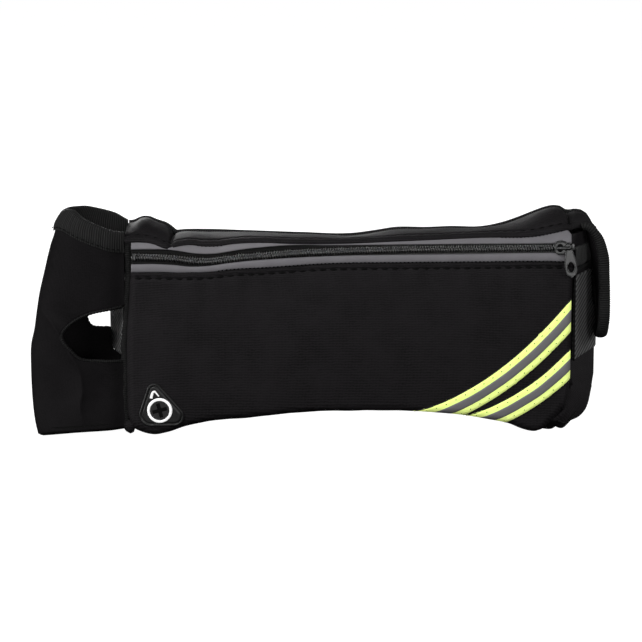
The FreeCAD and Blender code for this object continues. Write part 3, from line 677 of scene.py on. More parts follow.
def side_outline(is_front):
    """Left side, arched bottom and right side of the pouch, seen from the front."""
    xs = np.linspace(LEFT_X - 0.6, RIGHT_X + 0.2, 200)
    zs = bottom_edge(xs)
    if not is_front:
        reach = RIGHT_X + 18.4
        bottom = smooth_line(
            (-116, 9), (-112, 3.4), (-106, 0.8), (-96, 1.2), (-80, 4.5), (-43, 9.5), (20, 13.6), (70, 12.8),
            (100, 8.4), (119, 3.2), (126, 3.2), (133, 4.2), (137, 2.0), (141, 0.7), (148, 0.6),
            (153.5, 2.4), (158, 6.4), (160.8, 11.5), (162.4, 18), (reach, 30),
        )
        xs = np.linspace(LEFT_X - 1.0, reach, 200)
        zs = bottom(xs)
    left = [(xs[0], z) for z in np.linspace(112, zs[0] + 1, 40)]
    right = [(xs[-1], z) for z in np.linspace(zs[-1] + 1, 120, 40)]
    return np.array(left + list(zip(xs, zs)) + right)


def gussets():
    """Side and bottom strips between the front and the back panel."""
    count = 420
    near = resample(side_outline(True), count)
    far = resample(side_outline(False), count)
    steps = np.linspace(0, 1, 26)
    middle = (near + far) / 2
    tangent = directions(middle)
    outward = np.stack([tangent[:, 1], -tangent[:, 0]], 1)
    if outward[count // 2, 1] > 0:
        outward = -outward
    level = middle[:, 1]
    puff = (
        1.6 * np.where(level < 44, 1.0, np.where(level > 98, 0.5, 0.0))
        + 3.6 * bump_at(middle[:, 0], 148, 9) * (level < 30)
    )
    kernel = np.ones(15) / 15
    puff = np.convolve(puff, kernel, mode="same") * (1 - 0.98 * bump_at(near[:, 0], 133.5, 4.0))
    y = FRONT_Y + 4.0 + (BACK_Y - 1.0 - FRONT_Y - 4.0) * steps
    swell = np.sin(np.pi * steps) ** 0.8
    flat = near[:, None] * (1 - steps)[None, :, None] + far[:, None] * steps[None, :, None]
    flat = flat + outward[:, None] * (puff[:, None] * swell[None])[..., None]
    points = np.stack([flat[..., 0], np.broadcast_to(y, (count, len(steps))), flat[..., 1]], -1)
    wave = ripples(points[..., 0], points[..., 1], points[..., 2], 13.0, 5.5)
    points[..., 2] += 0.35 * wave * (points[..., 2] < 40)
    ahead = bump_at(steps, 0.2, 0.2)[None]
    notch = 4.5 * bump_at(points[..., 0], 133.0, 3.6) - 5.0 * bump_at(points[..., 0], 143.5, 6.0)
    points[..., 2] += notch * ahead * (points[..., 2] < 20)
    first = int(np.argmax(middle[:, 0] > LEFT_X + 6))
    last = int(np.argmax(middle[:, 0] > RIGHT_X + 3)) + 12
    cuts = (
        ("pouch_side_left", 0, first + 1, ["left_gusset"], (-1, 0, 0)),
        ("pouch_bottom", first, last - 12, ["bottom_gusset"], (0, 0, -1)),
        ("pouch_side_right", last - 13, count, ["right_gusset"], (1, 0, 0)),
    )
    for name, low, high, nodes, outward in cuts:
        mesh = sheet_mesh(name, points[low:high], outward)
        thing = add_piece(name, mesh, "side_neoprene", "pack", nodes)
        thicken(thing, 2.0)
    tuck = []
    for share, x in zip(np.linspace(0.03, 0.30, 24), np.linspace(139.5, 152.0, 24)):
        column = int(round(share * (len(steps) - 1)))
        row = int(np.argmin(np.abs(points[:, column, 0] - x) + 100 * (points[:, column, 2] > 40)))
        tuck.append(points[row, column] + np.array([0.2, 0, -0.3]))
    kernel = np.ones(5) / 5
    tuck = np.stack(
        [np.convolve(np.pad(np.array(tuck)[:, k], 2, mode="edge"), kernel, mode="valid") for k in range(3)],
        1,
    )
    add_tube("corner_tuck", tuck, (0.9, 0.9), 8, "seam")


def back_panel():
    columns = LEFT_X - 1.0 + (RIGHT_X + BACK_FLARE - LEFT_X) * dense_ends(150)
    outline = side_outline(False)
    inner = outline[40:240]
    rows = dense_ends(60, 0.8)
    x = np.repeat(columns[:, None], len(rows), 1)
    low = np.interp(x, inner[:, 0], inner[:, 1])
    z = low + (rear_top(x) - low) * rows[None]
    puff = 2.2 * np.sin(np.pi * rows)[None] ** 0.5 * (
        1 - (2 * (x - LEFT_X) / (RIGHT_X + 14 - LEFT_X) - 1) ** 6
    )
    y = BACK_Y - 1.2 + np.clip(puff, 0, None) + 0.4 * ripples(x, 0, z, 30.0, 1.3)
    mesh = sheet_mesh("pouch_back", np.stack([x, y, z], -1), (0, 1, 0))
    thing = add_piece("pouch_back", mesh, "back_mesh", "pack", ["back_panel"])
    thicken(thing, 2.2)
    ends = inner[::4]
    rim = [(ends[0, 0], z) for z in np.linspace(110, ends[0, 1] + 3, 20)] + [tuple(p) for p in ends[2:-2]]
    rim += [(ends[-1, 0], z) for z in np.linspace(ends[-1, 1] + 3, float(rear_top(ends[-1, 0])), 20)]
    rim += [(x, float(rear_top(x)) + 0.3) for x in np.linspace(ends[-1, 0], ends[0, 0], 90)]
    path = resample(np.array([(x, BACK_Y - 0.9, z) for x, z in rim]), 420)
    add_tube("back_piping", path, (1.5, 1.5), 8, "binding", (0, 1, 0))


def top_front(x):
    """Depth of the front edge of the top panel, which leans back above a tall lip."""
    return FRONT_Y - 0.4 + LIP_LEAN * (lip_top(x) - lip_bottom(x))


HEM_RISE = 3.1
HEM_SHARE = 0.085
TOP_GROOVE = 0.125


def top_point(x, s):
    """Place on the top panel, s of the way from its front edge, over a rolled hem, to its back edge."""
    front_z = lip_top(x)
    crease = bump_at(x, -89.0, 1.2) + 0.45 * bump_at(x, 144.8, 2.2)
    bulge = 1.6 + 2.2 * bump_at(x, -104, 9) + 2.4 * bump_at(x, 132, 14) - 0.8 * bump_at(x, 20, 20)
    turned = 1 - np.clip(s / HEM_SHARE, 0, 1)
    edge = HEM_RISE * np.sqrt(1 - turned**2)
    groove = 0.9 * bump_at(s, TOP_GROOVE, 0.022)
    y0 = top_front(x) - 0.6
    y = y0 + (BACK_Y - 0.6 - y0) * s - 0.5 * np.sin(np.pi * np.clip(s / HEM_SHARE, 0, 1))
    swell = np.clip((s - HEM_SHARE) / (1 - HEM_SHARE), 0, 1)
    z = (
        front_z - 0.7 + edge + (rear_top(x) - front_z + 0.7 - HEM_RISE) * s
        + bulge * np.sin(np.pi * swell) ** 0.8 - groove
    )
    z = z - crease * (0.5 + 1.6 * np.clip(s * 4, 0, 1))
    y = y + crease * 1.5 * (1 - s)
    return y, z


def top_panel():
    columns = LEFT_X - 1.0 + (RIGHT_X + 16.0 - LEFT_X) * dense_ends(320, 0.5)
    rows = np.linspace(0, 1, 70) ** 1.5
    x = np.repeat(columns[:, None], len(rows), 1)
    s = np.repeat(rows[None], len(columns), 0)
    y, z = top_point(x, s)
    past = np.clip(x - RIGHT_X, 0, None)
    y = y + past * (1 - s) * 2.1
    ruffle = ripples(x, y, 0, 16.0, 2.2)
    z = z + 0.55 * ruffle * np.sin(np.pi * s)
    puckers = 0.22 * np.sin(x * 1.16) * bump_at(s, TOP_GROOVE, 0.06)
    mesh = sheet_mesh("pouch_top", np.stack([x, y, z + puckers], -1), (0, 0, 1))
    thing = add_piece("pouch_top", mesh, "neoprene", "pack", ["top_panel"])
    thicken(thing, 2.0)


def top_crease_shade():
    """Painted shade: a near-black tube laid along the crease across the top panel near its right end."""
    s = np.linspace(0.06, 0.9, 60)
    x = 144.9 + 0.5 * s
    y, z = top_point(x, s)
    y = y + np.clip(x - RIGHT_X, 0, None) * (1 - s) * 2.1
    fold = np.stack([x, y, z + 0.15], 1)
    add_tube("top_crease_shade", fold, (0.55, 0.5), 8, "thread")


# ---------------------------------------------------------------- zip

def strip_along(name, low, high, bulge, depth, material, nodes, lean=0.0, rows=9, ridges=0):
    """Strip of tape between two level lines, crowned across its width."""
    xs = np.linspace(LEFT_X + 2.9, RIGHT_X - 0.3, 320)
    t = np.linspace(0, 1, rows)
    x = np.repeat(xs[:, None], rows, 1)
    bottom, top = low(x), high(x)
    z = bottom + (top - bottom) * t[None]
    y = depth - bulge * np.sin(np.pi * t)[None] ** 0.5 + lean * (z - bottom)
    if ridges:
        y = y - 0.09 * np.abs(np.sin(np.pi * ridges * t))[None]
    y = y + 0.12 * ripples(x, 0, z, 7.0, 9.1)
    mesh = sheet_mesh(name, np.stack([x, y, z], -1), (0, -1, 0))
    thicken(add_piece(name, mesh, material, "pack", nodes), 0.5)


def welt_end(x):
    """Top of the upper welt, whose right end is cut away at a slant."""
    return lip_top(x) - 3.6 * np.clip((x - 142.4) / 3.4, 0, 1) ** 1.5


def welts_and_tapes():
    strip_along("welt_below", welt_bottom, welt_top, 0.6, FRONT_Y - 0.2, "reflective_grey", ["welt_lower"])
    strip_along(
        "welt_above", lip_bottom, welt_end, 0.35, FRONT_Y - 0.1, "reflective_grey", ["welt_upper"],
        lean=LIP_LEAN,
    )
    coil_low = smooth_line(*[(x, float(coil_line(x)) - 0.5) for x in range(-116, 150, 12)])
    coil_high = smooth_line(*[(x, float(coil_line(x)) + 0.5) for x in range(-116, 150, 12)])
    under = smooth_line(*[(x, float(welt_top(x)) - 1.5) for x in range(-116, 150, 12)])
    over = smooth_line(*[(x, float(lip_bottom(x)) + 1.5) for x in range(-116, 150, 12)])
    tape_y = FRONT_Y + 1.1
    strip_along(
        "tape_below", under, coil_low, 0.1, tape_y, "zip_tape", ["zip_tape_lower"], rows=41, ridges=8,
    )
    strip_along(
        "tape_above", coil_high, over, 0.1, tape_y, "zip_tape", ["zip_tape_upper"], rows=41, ridges=8,
    )


def coils():
    """Two nylon coils whose turns mesh along the zip's centre line."""
    pitch = 1.5
    width = 2.5
    turns = int((RIGHT_X - LEFT_X - 4) / pitch)
    for word, side in (("lower", -1), ("upper", 1)):
        t = np.linspace(0, turns, turns * 12)
        x = LEFT_X + 3.0 + pitch * (t + (0.5 if side > 0 else 0.0))
        swing = np.cos(2 * np.pi * t)
        z = coil_line(x) + side * (width / 2 - 0.35) + side * (width / 2) * -swing
        y = FRONT_Y + 0.35 - 0.75 * np.sin(2 * np.pi * t) * 0.8
        path = np.stack([x, y, z], 1)
        nodes = ["zip_coil_" + word]
        add_tube("coil_" + word, path, (0.36, 0.36), 6, "coil_nylon", (0.2, -1.0, 0.0), nodes)
        cord = [
            (xx, FRONT_Y + 0.3, float(coil_line(xx)) + side * 1.15)
            for xx in np.linspace(LEFT_X + 3, RIGHT_X - 1, 120)
        ]
        add_tube("coil_cord_" + word, cord, (0.3, 0.3), 6, "thread")


def flat_plate(name, outlines, thickness, bevel):
    """Plate with holes lying in its own XY plane, its edges rounded; outlines are in millimetres."""
    curve = bpy.data.curves.new(name, "CURVE")
    curve.dimensions = "2D"
    curve.fill_mode = "BOTH"
    curve.extrude = (thickness / 2 - bevel) * MM
    curve.bevel_depth = bevel * MM
    curve.bevel_resolution = 3
    curve.offset = -bevel * MM
    for outline in outlines:
        spline = curve.splines.new("POLY")
        spline.points.add(len(outline) - 1)
        for point, (x, y) in zip(spline.points, outline):
            point.co = (x * MM, y * MM, 0, 1)
        spline.use_cyclic_u = True
    thing = new_object(name, curve)
    bpy.context.view_layer.update()
    mesh = applied(thing)
    bpy.data.objects.remove(thing)
    return mesh


def stand_plate(mesh, pivot, along, across):
    """Turn a plate to face forwards, its own -Y along one direction and its X along another."""
    mesh.transform(Matrix((
        (across[0], -along[0], 0, pivot[0] * MM),
        (0, 0, -1, pivot[1] * MM),
        (across[2], -along[2], 0, pivot[2] * MM),
        (0, 0, 0, 1),
    )))
    face_out(mesh)
    smooth(mesh)
    return mesh


def pull_outline(widen):
    """Half-widths of the pull down its length, as a closed outline; widen moves it outwards."""
    width = smooth_line(
        (-2.3, 0.0), (-1.7, 1.5), (-0.4, 2.2), (1.4, 2.0), (4.0, 2.6), (7.0, 3.3), (13.3, 3.4), (15.6, 2.6),
        (17.2, 0.0),
    )
    down = np.r_[
        -2.3 + 0.7 * (1 - np.cos(np.linspace(0, np.pi / 2, 8))), np.linspace(-1.5, 15.4, 26),
        17.2 - 1.7 * (1 - np.sin(np.linspace(0.1, np.pi / 2, 8))),
    ]
    half = [(u, float(width(u)) + widen) for u in down]
    return [(w, -u) for u, w in half] + [(-w, -u) for u, w in half[::-1][1:-1]]


def oval(centre_down, half_wide, half_long, count=40):
    turn = np.linspace(0, 2 * np.pi, count, endpoint=False)
    return [(half_wide * math.cos(a), -centre_down + half_long * math.sin(a)) for a in turn]


def pull():
    """Flat die-cast pull with a raised rim round its edge and round its oval hole."""
    low, high = box_mm("pull_tab")
    tilt = math.radians(7.0)
    pivot = np.array([low[0] + 2.76, (low[1] + high[1]) / 2, high[2] - 2.44])
    outlines = [pull_outline(0.0), oval(0.0, 1.15, 1.15), oval(11.3, 2.0, 2.9)]
    mesh = flat_plate("pull", outlines, 0.9, 0.2)
    along, across = np.array(
        [math.sin(tilt), 0, -math.cos(tilt)]
    ), np.array([math.cos(tilt), 0, math.sin(tilt)])
    stand_plate(mesh, pivot, along, across)
    add_piece("pull", mesh, "zip_metal", "pull_tab", ["pull_tab"])
    rims = []
    for outline in (pull_outline(-0.3), oval(11.3, 2.25, 3.15)):
        ring = np.array(outline + outline[:2])
        path = pivot + ring[:, :1] * across - ring[:, 1:] * along + np.array([0, -0.4, 0])
        rims.append(tube_mesh("rim", path, (0.36, 0.42), 8, (0, -1, 0)))
    add_piece("pull_rims", join_meshes("pull_rims", rims), "zip_metal", "pull_tab")


def slider_outline(inset):
    """Slider plate seen from the front: broad in the middle, narrower at both ends."""
    height = smooth_line((-3.9, 2.1), (-3.0, 3.3), (-1.0, 4.2), (1.4, 4.0), (3.2, 3.0), (3.9, 1.9))
    xs = np.linspace(-3.9 + inset, 3.9 - inset, 22)
    upper = [(x, float(height(x)) - inset) for x in xs]
    return upper + [(x, -z) for x, z in upper[::-1]]


def slider():
    """Die-cast slider: two plates on a post, a raised rim and the bridge that holds the pull."""
    low, high = box_mm("zip_slider")
    centre = np.array([low[0] + 4.2, 0, (low[2] + high[2]) / 2])
    along, across = np.array([0, 0, -1.0]), np.array([1.0, 0, 0])
    pieces = []
    for name, y, thickness in (("slider_front", low[1] + 4.7, 1.8), ("slider_rear", high[1] - 1.1, 1.4)):
        plate = flat_plate(name, [slider_outline(0.0)], thickness, 0.45)
        stand_plate(plate, centre + np.array([0, y, 0]), along, across)
        add_piece(name, plate, "zip_metal", "zip_slider")
    post = [(centre[0] - 2.2, y, centre[2]) for y in np.linspace(low[1] + 5, high[1] - 1, 8)]
    pieces.append(tube_mesh("post", post, (0.9, 1.1), 10))
    rim = np.array(slider_outline(0.7) + slider_outline(0.7)[:2])
    path = centre + rim[:, :1] * across - rim[:, 1:] * along + np.array([0, low[1] + 3.8, 0])
    pieces.append(tube_mesh("rim", path, (0.42, 0.42), 8, (0, -1, 0)))
    front = low[1] + 3.9
    reach = np.array(
        [
            (centre[0] - 2.6, front, centre[2]), (centre[0] - 2.4, front - 1.4, centre[2]),
            (centre[0] - 0.6, front - 2.6, centre[2]), (centre[0] + 2.4, front - 3.1, centre[2]),
            (centre[0] + 5.0, front - 2.7, centre[2]), (centre[0] + 5.7, front - 1.2, centre[2]),
            (centre[0] + 5.2, front + 0.2, centre[2]), (centre[0] + 3.4, front + 0.7, centre[2]),
        ]
    )
    pieces.append(tube_mesh("bridge", resample(reach, 40), (0.62, 1.0), 10, (0, 0, 1)))
    add_piece(
        "slider_bridge", join_meshes("slider_bridge", pieces), "zip_metal", "zip_slider", ["zip_slider"],
    )
    # Painted shade: a near-black oval plate on the slider's face stands in for the shade in its recess.
    recess = flat_plate("slider_recess_shade", [oval(0.0, 1.9, 2.5)], 0.5, 0.1)
    stand_plate(recess, centre + np.array([-0.6, front - 0.1, 0]), along, across)
    add_piece("slider_recess_shade", recess, "thread", "zip_slider")


def bevelled_copy(name, node, material, body, width):
    """CAD node's own mesh with its hard edges rounded over."""
    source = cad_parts[node]
    mesh = source.data.copy()
    mesh.name = name
    mesh.materials.clear()
    work = bmesh.new()
    work.from_mesh(mesh)
    bmesh.ops.remove_doubles(work, verts=work.verts, dist=1e-6)
    bmesh.ops.dissolve_limit(work, angle_limit=math.radians(2), verts=work.verts, edges=work.edges)
    work.to_mesh(mesh)
    work.free()
    smooth(mesh)
    thing = add_piece(name, mesh, material, body, [node])
    bevel = thing.modifiers.new("edges", "BEVEL")
    bevel.width = width * MM
    bevel.segments = 3
    bevel.limit_method = "ANGLE"
    bevel.angle_limit = math.radians(35)
    bevel.harden_normals = True
    bevel.use_clamp_overlap = True


# ---------------------------------------------------------------- reflective bands

UPPER_BAND = smooth_line(
    (30, 2.5), (57, 9), (75, 15.5), (88, 22.5), (105, 33.5), (122, 47.5), (138, 63.5), (152, 79.5),
)
LOWER_BAND = smooth_line((60, -1.5), (85, 5.5), (105, 13.5), (120, 22), (136, 34), (152, 49.5))


def on_panel(flat, lift):
    """Places lifted off the front panel, from (x, z) pairs."""
    return np.stack([flat[:, 0], uneven_front(flat[:, 0], flat[:, 1]) - lift, flat[:, 1]], 1)


def inside_panel(x, z):
    return (x < RIGHT_X + 0.1) & (z > bottom_edge(x) + 0.2)


def band_path(line, x_from, offset=0.0):
    """Points along a band's middle line, moved sideways on the panel."""
    xs = np.linspace(x_from, 151.0, 1200)
    path = resample(np.stack([xs, line(xs)], 1), 1200)
    tangent = directions(path)
    across = np.stack([-tangent[:, 1], tangent[:, 0]], 1)
    return path + across * np.broadcast_to(offset, (1200,))[:, None]


def kept_part(path):
    good = np.where(inside_panel(path[:, 0], path[:, 1]))[0]
    return path[good[0]:good[-1] + 1]


def band(name, line, x_from, width, lift, material, nodes, waver, seed):
    """Curved ribbon laid on the front panel, cut where the panel ends."""
    run = np.linspace(0, 150, 1200)
    upper_wave = ripples(run, 0, 0, 3.4, seed) * waver
    lower_wave = ripples(run, 0, 0, 2.6, seed + 3) * waver * 1.6
    slow = ripples(run, 0, 0, 19.0, seed + 7) * 0.3
    columns = []
    for t in np.linspace(-0.5, 0.5, 9):
        edge = upper_wave if t > 0.45 else lower_wave if t < -0.45 else 0 * run
        columns.append(resample(kept_part(band_path(line, x_from, width * t + slow + edge)), 260))
    flat = np.stack(columns, 1)
    rim = 1 - 0.6 * (2 * np.abs(np.linspace(-0.5, 0.5, 9))) ** 6
    y = uneven_front(flat[..., 0], flat[..., 1]) - lift * rim[None]
    mesh = sheet_mesh(name, np.stack([flat[..., 0], y, flat[..., 1]], -1), (0, -1, 0))
    thicken(add_piece(name, mesh, material, "pack", nodes), 0.3, 0.0)


def bands():
    for word, line, x_from, seed in (("upper", UPPER_BAND, 32.0, 11.0), ("lower", LOWER_BAND, 62.0, 17.0)):
        yellow = ["yellow_tape_" + word]
        band("ribbon_" + word, line, x_from, 12.8, 0.5, "fluorescent_yellow", yellow, 0.22, seed)
        band(
            "film_" + word, line, x_from, 5.4, 0.85, "silver_film", ["silver_strip_" + word], 0.06, seed + 2,
        )
        for side in (-1, 1):
            flat = resample(kept_part(band_path(line, x_from, side * 6.35)), 200)
            path = on_panel(flat, 0.1)
            name = "ribbon_edge_%s_%s" % (word, "above" if side > 0 else "below")
            add_tube(name, path, (0.45, 0.3), 8, "ribbon_edge", (0, -1, 0))
            flat = kept_part(band_path(line, x_from, side * 4.6))
            flat = flat[flat[:, 0] < RIGHT_X - 2.0]
            path = on_panel(flat, 0.62)
            name = "ribbon_stitches_%s_%s" % (word, "above" if side > 0 else "below")
            stitch_row(name, path, "pack", pitch=6.2, length=0.9, width=0.26, lift=0.12)


# ---------------------------------------------------------------- earphone outlet

PORT_CORNERS = ((-99.4, 27.8, 4.4), (-87.8, 12.4, 5.9), (-101.4, 13.4, 7.1))
RING_CENTRE = np.array([-96.2, 16.1])


def port_outline(inset, count):
    """Outline of three circles held together by a band, shrunk by inset."""
    points = []
    for turn in np.linspace(0, 2 * np.pi, count, endpoint=False):
        direction = np.array([math.cos(turn), math.sin(turn)])
        best = max(PORT_CORNERS, key=lambda c: np.dot(c[:2], direction) + c[2])
        points.append(np.array(best[:2]) + direction * (best[2] - inset))
    return np.array(points)


def port_patch():
    """Moulded patch: a raised rim round a slightly sunken face."""
    count = 120
    profile = (
        (0.0, 0.0), (0.1, 0.8), (0.35, 1.15), (0.9, 1.3), (1.15, 0.2), (1.8, 0.2), (2.1, 1.05), (2.6, 1.1),
        (3.2, 1.1),
    )
    deepest = FRONT_Y + 2.2
    rings = []
    for inset, height in profile:
        outline = port_outline(inset, count)
        depth = np.minimum(front_y(outline[:, 0], outline[:, 1]), deepest)
        rings.append(np.stack([outline[:, 0], depth - height, outline[:, 1]], 1))
    faces = grid_faces(len(profile), count, closed=True)
    points = np.concatenate(rings)
    centre = rings[-1].mean(0)
    faces += [
        ((len(profile) - 1) * count + i, (len(profile) - 1) * count + (i + 1) % count, len(points))
        for i in range(count)
    ]
    points = np.concatenate([points, centre[None]])
    mesh = mesh_from("port_patch", points, [f[::-1] for f in faces])
    add_piece("port_patch", mesh, "port_rubber", "pack", ["earphone_port"])


def port_face():
    """Depth of the patch's face at the ring."""
    return float(front_y(*RING_CENTRE)) - 1.1


def port_ring():
    profile = ((7.45, -0.2), (7.4, 0.35), (7.1, 0.6), (6.0, 0.6), (5.7, 0.35), (5.65, -0.2))
    face = port_face()
    turn = np.linspace(0, 2 * np.pi, 72, endpoint=False)
    grid = [
        np.stack(
            [RING_CENTRE[0] + r * np.cos(turn), np.full(72, face - h), RING_CENTRE[1] + r * np.sin(turn)], 1,
        )
        for r, h in profile
    ]
    faces = [f[::-1] for f in grid_faces(len(profile), 72, closed=True)]
    mesh = mesh_from("port_ring", np.concatenate(grid), faces)
    add_piece("port_ring", mesh, "ring_white", "pack", ["earphone_ring"])


def port_membrane():
    """Thin disc with a cross slit, and a near-black disc behind it that paints the shade seen through the
    slit.
    """
    face = port_face()
    disc = bmesh.new()
    bmesh.ops.create_cone(
        disc, cap_ends=True, segments=48, radius1=6.0 * MM, radius2=6.0 * MM, depth=0.8 * MM,
        matrix=Matrix.Translation(
            Vector((RING_CENTRE[0], face - 0.05, RING_CENTRE[1])) * MM
        ) @ Matrix.Rotation(math.pi / 2, 4, "X"),
    )
    mesh = bpy.data.meshes.new("port_membrane")
    disc.to_mesh(mesh)
    disc.free()
    membrane = add_piece("port_membrane", mesh, "port_membrane", "pack")
    for angle in (15, 105):
        cutter = bmesh.new()
        place = Matrix.Translation(
            Vector((RING_CENTRE[0], face, RING_CENTRE[1])) * MM
        ) @ Matrix.Rotation(math.radians(-angle), 4, "Y")
        bmesh.ops.create_cube(
            cutter, size=1.0, matrix=place @ Matrix.Diagonal((8.9 * MM, 4 * MM, 2.3 * MM, 1)),
        )
        tool_mesh = bpy.data.meshes.new("slit")
        cutter.to_mesh(tool_mesh)
        cutter.free()
        boolean_cut(membrane, new_object("slit", tool_mesh))
    # Painted shade: a near-black disc just behind the membrane stands in for the dark inside of the port.
    back = [
        (RING_CENTRE[0] + 5.6 * math.cos(a), face - 0.08, RING_CENTRE[1] + 5.6 * math.sin(a))
        for a in np.linspace(0, 2 * np.pi, 49)[:-1]
    ]
    shadow = mesh_from("port_slit_shade", back, [tuple(range(48))[::-1]])
    add_piece("port_slit_shade", shadow, "thread", "pack")


def port_sign():
    """Raised mark on the patch."""
    sign = [(-101.2, 23.4), (-100.8, 25.2), (-100.1, 27.1), (-98.9, 27.6), (-97.8, 26.2), (-96.6, 24.6)]
    path = [(x, float(front_y(x, z)) - 1.25, z) for x, z in resample(sign, 24)]
    grow = 0.6 + 0.25 * np.cos(np.linspace(0, np.pi, 24))
    add_tube("port_sign", path, np.stack([grow, grow * 0.5], 1), 8, "ring_white")


# ---------------------------------------------------------------- bottle sleeve

sleeve_reach = smooth_line(
    (0, 51.9), (8, 53.8), (17, 55.3), (39, 56.6), (53, 56.1), (61, 54.3), (71, 52.8), (83, 50.8),
    (98, 47.2), (107, 45.0), (113, 43.3), (119, 41.2), (124, 40.0), (129, 37.6), (134, 34.8),
)
rim_height = smooth_line(
    (-90, 120.6), (-80, 121.8), (-70, 124.1), (-58, 126.8), (-45, 129.9), (-34, 132.4), (-20, 133.0),
    (0, 131.4), (20, 132.2), (34, 132.2), (46, 132.0), (59, 130.6), (70, 129.0), (80, 127.0), (90, 123.6),
)
base_height = smooth_line((-90, 5.0), (-60, 4.0), (-35, 2.6), (-10, 0.4), (10, 0.4), (45, 2.0), (90, 2.5))
crease_x = smooth_line(
    (8, -141), (16, -143), (29, -142), (39, -143.5), (48, -148.5), (60, -155.5), (67, -160), (74, -166.5),
)


def sleeve_point(angle, z, grow=0.0):
    """Place on the sleeve; angle runs from -90 at its front seam to 90 at its rear seam."""
    turn = np.radians(angle)
    reach = sleeve_reach(z) + grow
    flatness = np.abs(np.sin(turn)) ** 0.8 * np.sign(np.sin(turn))
    x = SEAM_X + SEAM_GAP - (reach + SEAM_GAP) * np.cos(turn)
    forward = 11.0 * np.cos(turn) * bump_at(z, 0, 20)
    y = MIDDLE_Y + (21.0 + grow) * flatness - forward
    seam_dip = 3.5 * bump_at(angle, -90, 7) - 4.0 * bump_at(angle, 90, 9)
    front = np.clip(-np.sin(turn), 0, 1) ** 0.5
    from_crease = x - crease_x(z)
    strength = np.interp(z, [6, 22, 66, 80], [0, 1, 1, 0])
    ridge = 3.0 * np.exp(-np.abs(from_crease) / 2.6) * front * strength
    hollow = 2.0 * bump_at(from_crease, 11, 8) * front * strength
    side = 1.6 * bump_at(from_crease, -12, 7) * front * strength
    slack = 0.7 * ripples(x, y, z, 24.0, 6.6) * np.abs(np.cos(turn)) ** 0.3
    return np.stack([x, y + seam_dip - ridge + hollow + side + slack, z], -1)


def soft_outline(corners, per_corner=8):
    """Closed smooth outline through a few (x, z) points seen from the front."""
    corners = np.array(corners, float)
    points = []
    for i in range(len(corners)):
        p0, p1, p2, p3 = (corners[(i + k) % len(corners)] for k in (-1, 0, 1, 2))
        for t in np.linspace(0, 1, per_corner, endpoint=False):
            points.append(
                0.5
                * (
                    2 * p1 + (p2 - p0) * t + (2 * p0 - 5 * p1 + 4 * p2 - p3) * t * t
                    + (3 * p1 - p0 - 3 * p2 + p3) * t**3
                )
            )
    return np.array(points)


def inside_outline(x, z, outline):
    """Whether each place is inside the outline, by counting crossings."""
    inside = np.zeros(np.shape(x), bool)
    for (x0, z0), (x1, z1) in zip(outline, np.roll(outline, -1, axis=0)):
        crosses = (z0 > z) != (z1 > z)
        at = x0 + (z - z0) * (x1 - x0) / (z1 - z0 + 1e-12)
        inside ^= crosses & (x < at)
    return inside


def sleeve_angle(x, z, side):
    """Angle of the sleeve at x and z, on its front (side -1) or its rear (side 1)."""
    return side * np.degrees(
        np.arccos(np.clip((SEAM_X + SEAM_GAP - x) / (sleeve_reach(z) + SEAM_GAP), 0, 1))
    )


FRONT_CUT = (
    (-108, 78.2), (-116, 77.7), (-124, 76.4), (-135, 74.2), (-143, 71.0), (-150, 66.1), (-154.4, 61.0),
    (-153.6, 56.4), (-149, 50.8), (-144.4, 46.4), (-139, 45.0), (-130, 44.8), (-116, 44.7), (-108, 44.6),
    (-106, 60),
)
REAR_CUT = (
    (-108, 93), (-125, 93), (-138, 92), (-143, 87), (-143.4, 75), (-142.6, 64), (-139.4, 59.2),
    (-133, 58.3), (-129, 58.0), (-127.6, 52), (-127.4, 45.2), (-124, 44.2), (-115, 44.2), (-108, 44.2),
    (-105, 70),
)


def bottle_sleeve():
    """Neoprene wall; the cells inside each opening are left out and the rest are drawn to its edge."""
    rows, columns = 230, 150
    a = np.repeat(np.linspace(-90, 90, rows)[:, None], columns, 1)
    low, high = base_height(a), rim_height(a) - 0.6
    z = low + (high - low) * np.linspace(0, 1, columns)[None]
    x = sleeve_point(a, z)[..., 0]
    faces = np.array(grid_faces(rows, columns))
    for corners, side in ((FRONT_CUT, -1), (REAR_CUT, 1)):
        outline = soft_outline(corners)
        hole = (inside_outline(x, z, outline) & (a * side > 0)).ravel()
        open_faces = hole[faces].any(1)
        rim = np.setdiff1d(np.unique(faces[open_faces]), np.where(hole)[0])
        faces = faces[~open_faces]
        dense = resample(np.concatenate([outline, outline[:1]]), 900)
        places = np.stack([x.ravel()[rim], z.ravel()[rim]], 1)
        nearest = dense[np.argmin(((places[:, None] - dense[None]) ** 2).sum(2), axis=1)]
        moved = nearest[:, 0] < SEAM_X + SEAM_GAP
        a.ravel()[rim[moved]] = sleeve_angle(nearest[moved, 0], nearest[moved, 1], side)
        z.ravel()[rim[moved]] = nearest[moved, 1]
    used, index = np.unique(faces, return_inverse=True)
    points = sleeve_point(a, z).reshape(-1, 3)[used]
    faces = index.reshape(faces.shape)
    arc = np.radians(a.ravel()[used]) * 48.0
    weave = np.stack([arc, z.ravel()[used], 0 * arc], 1)
    mesh = mesh_from("sleeve_wall", points, faces.tolist(), weave)
    wall = add_piece("sleeve_wall", mesh, "sleeve", "pack", ["bottle_sleeve"])
    thicken(wall, 2.2)


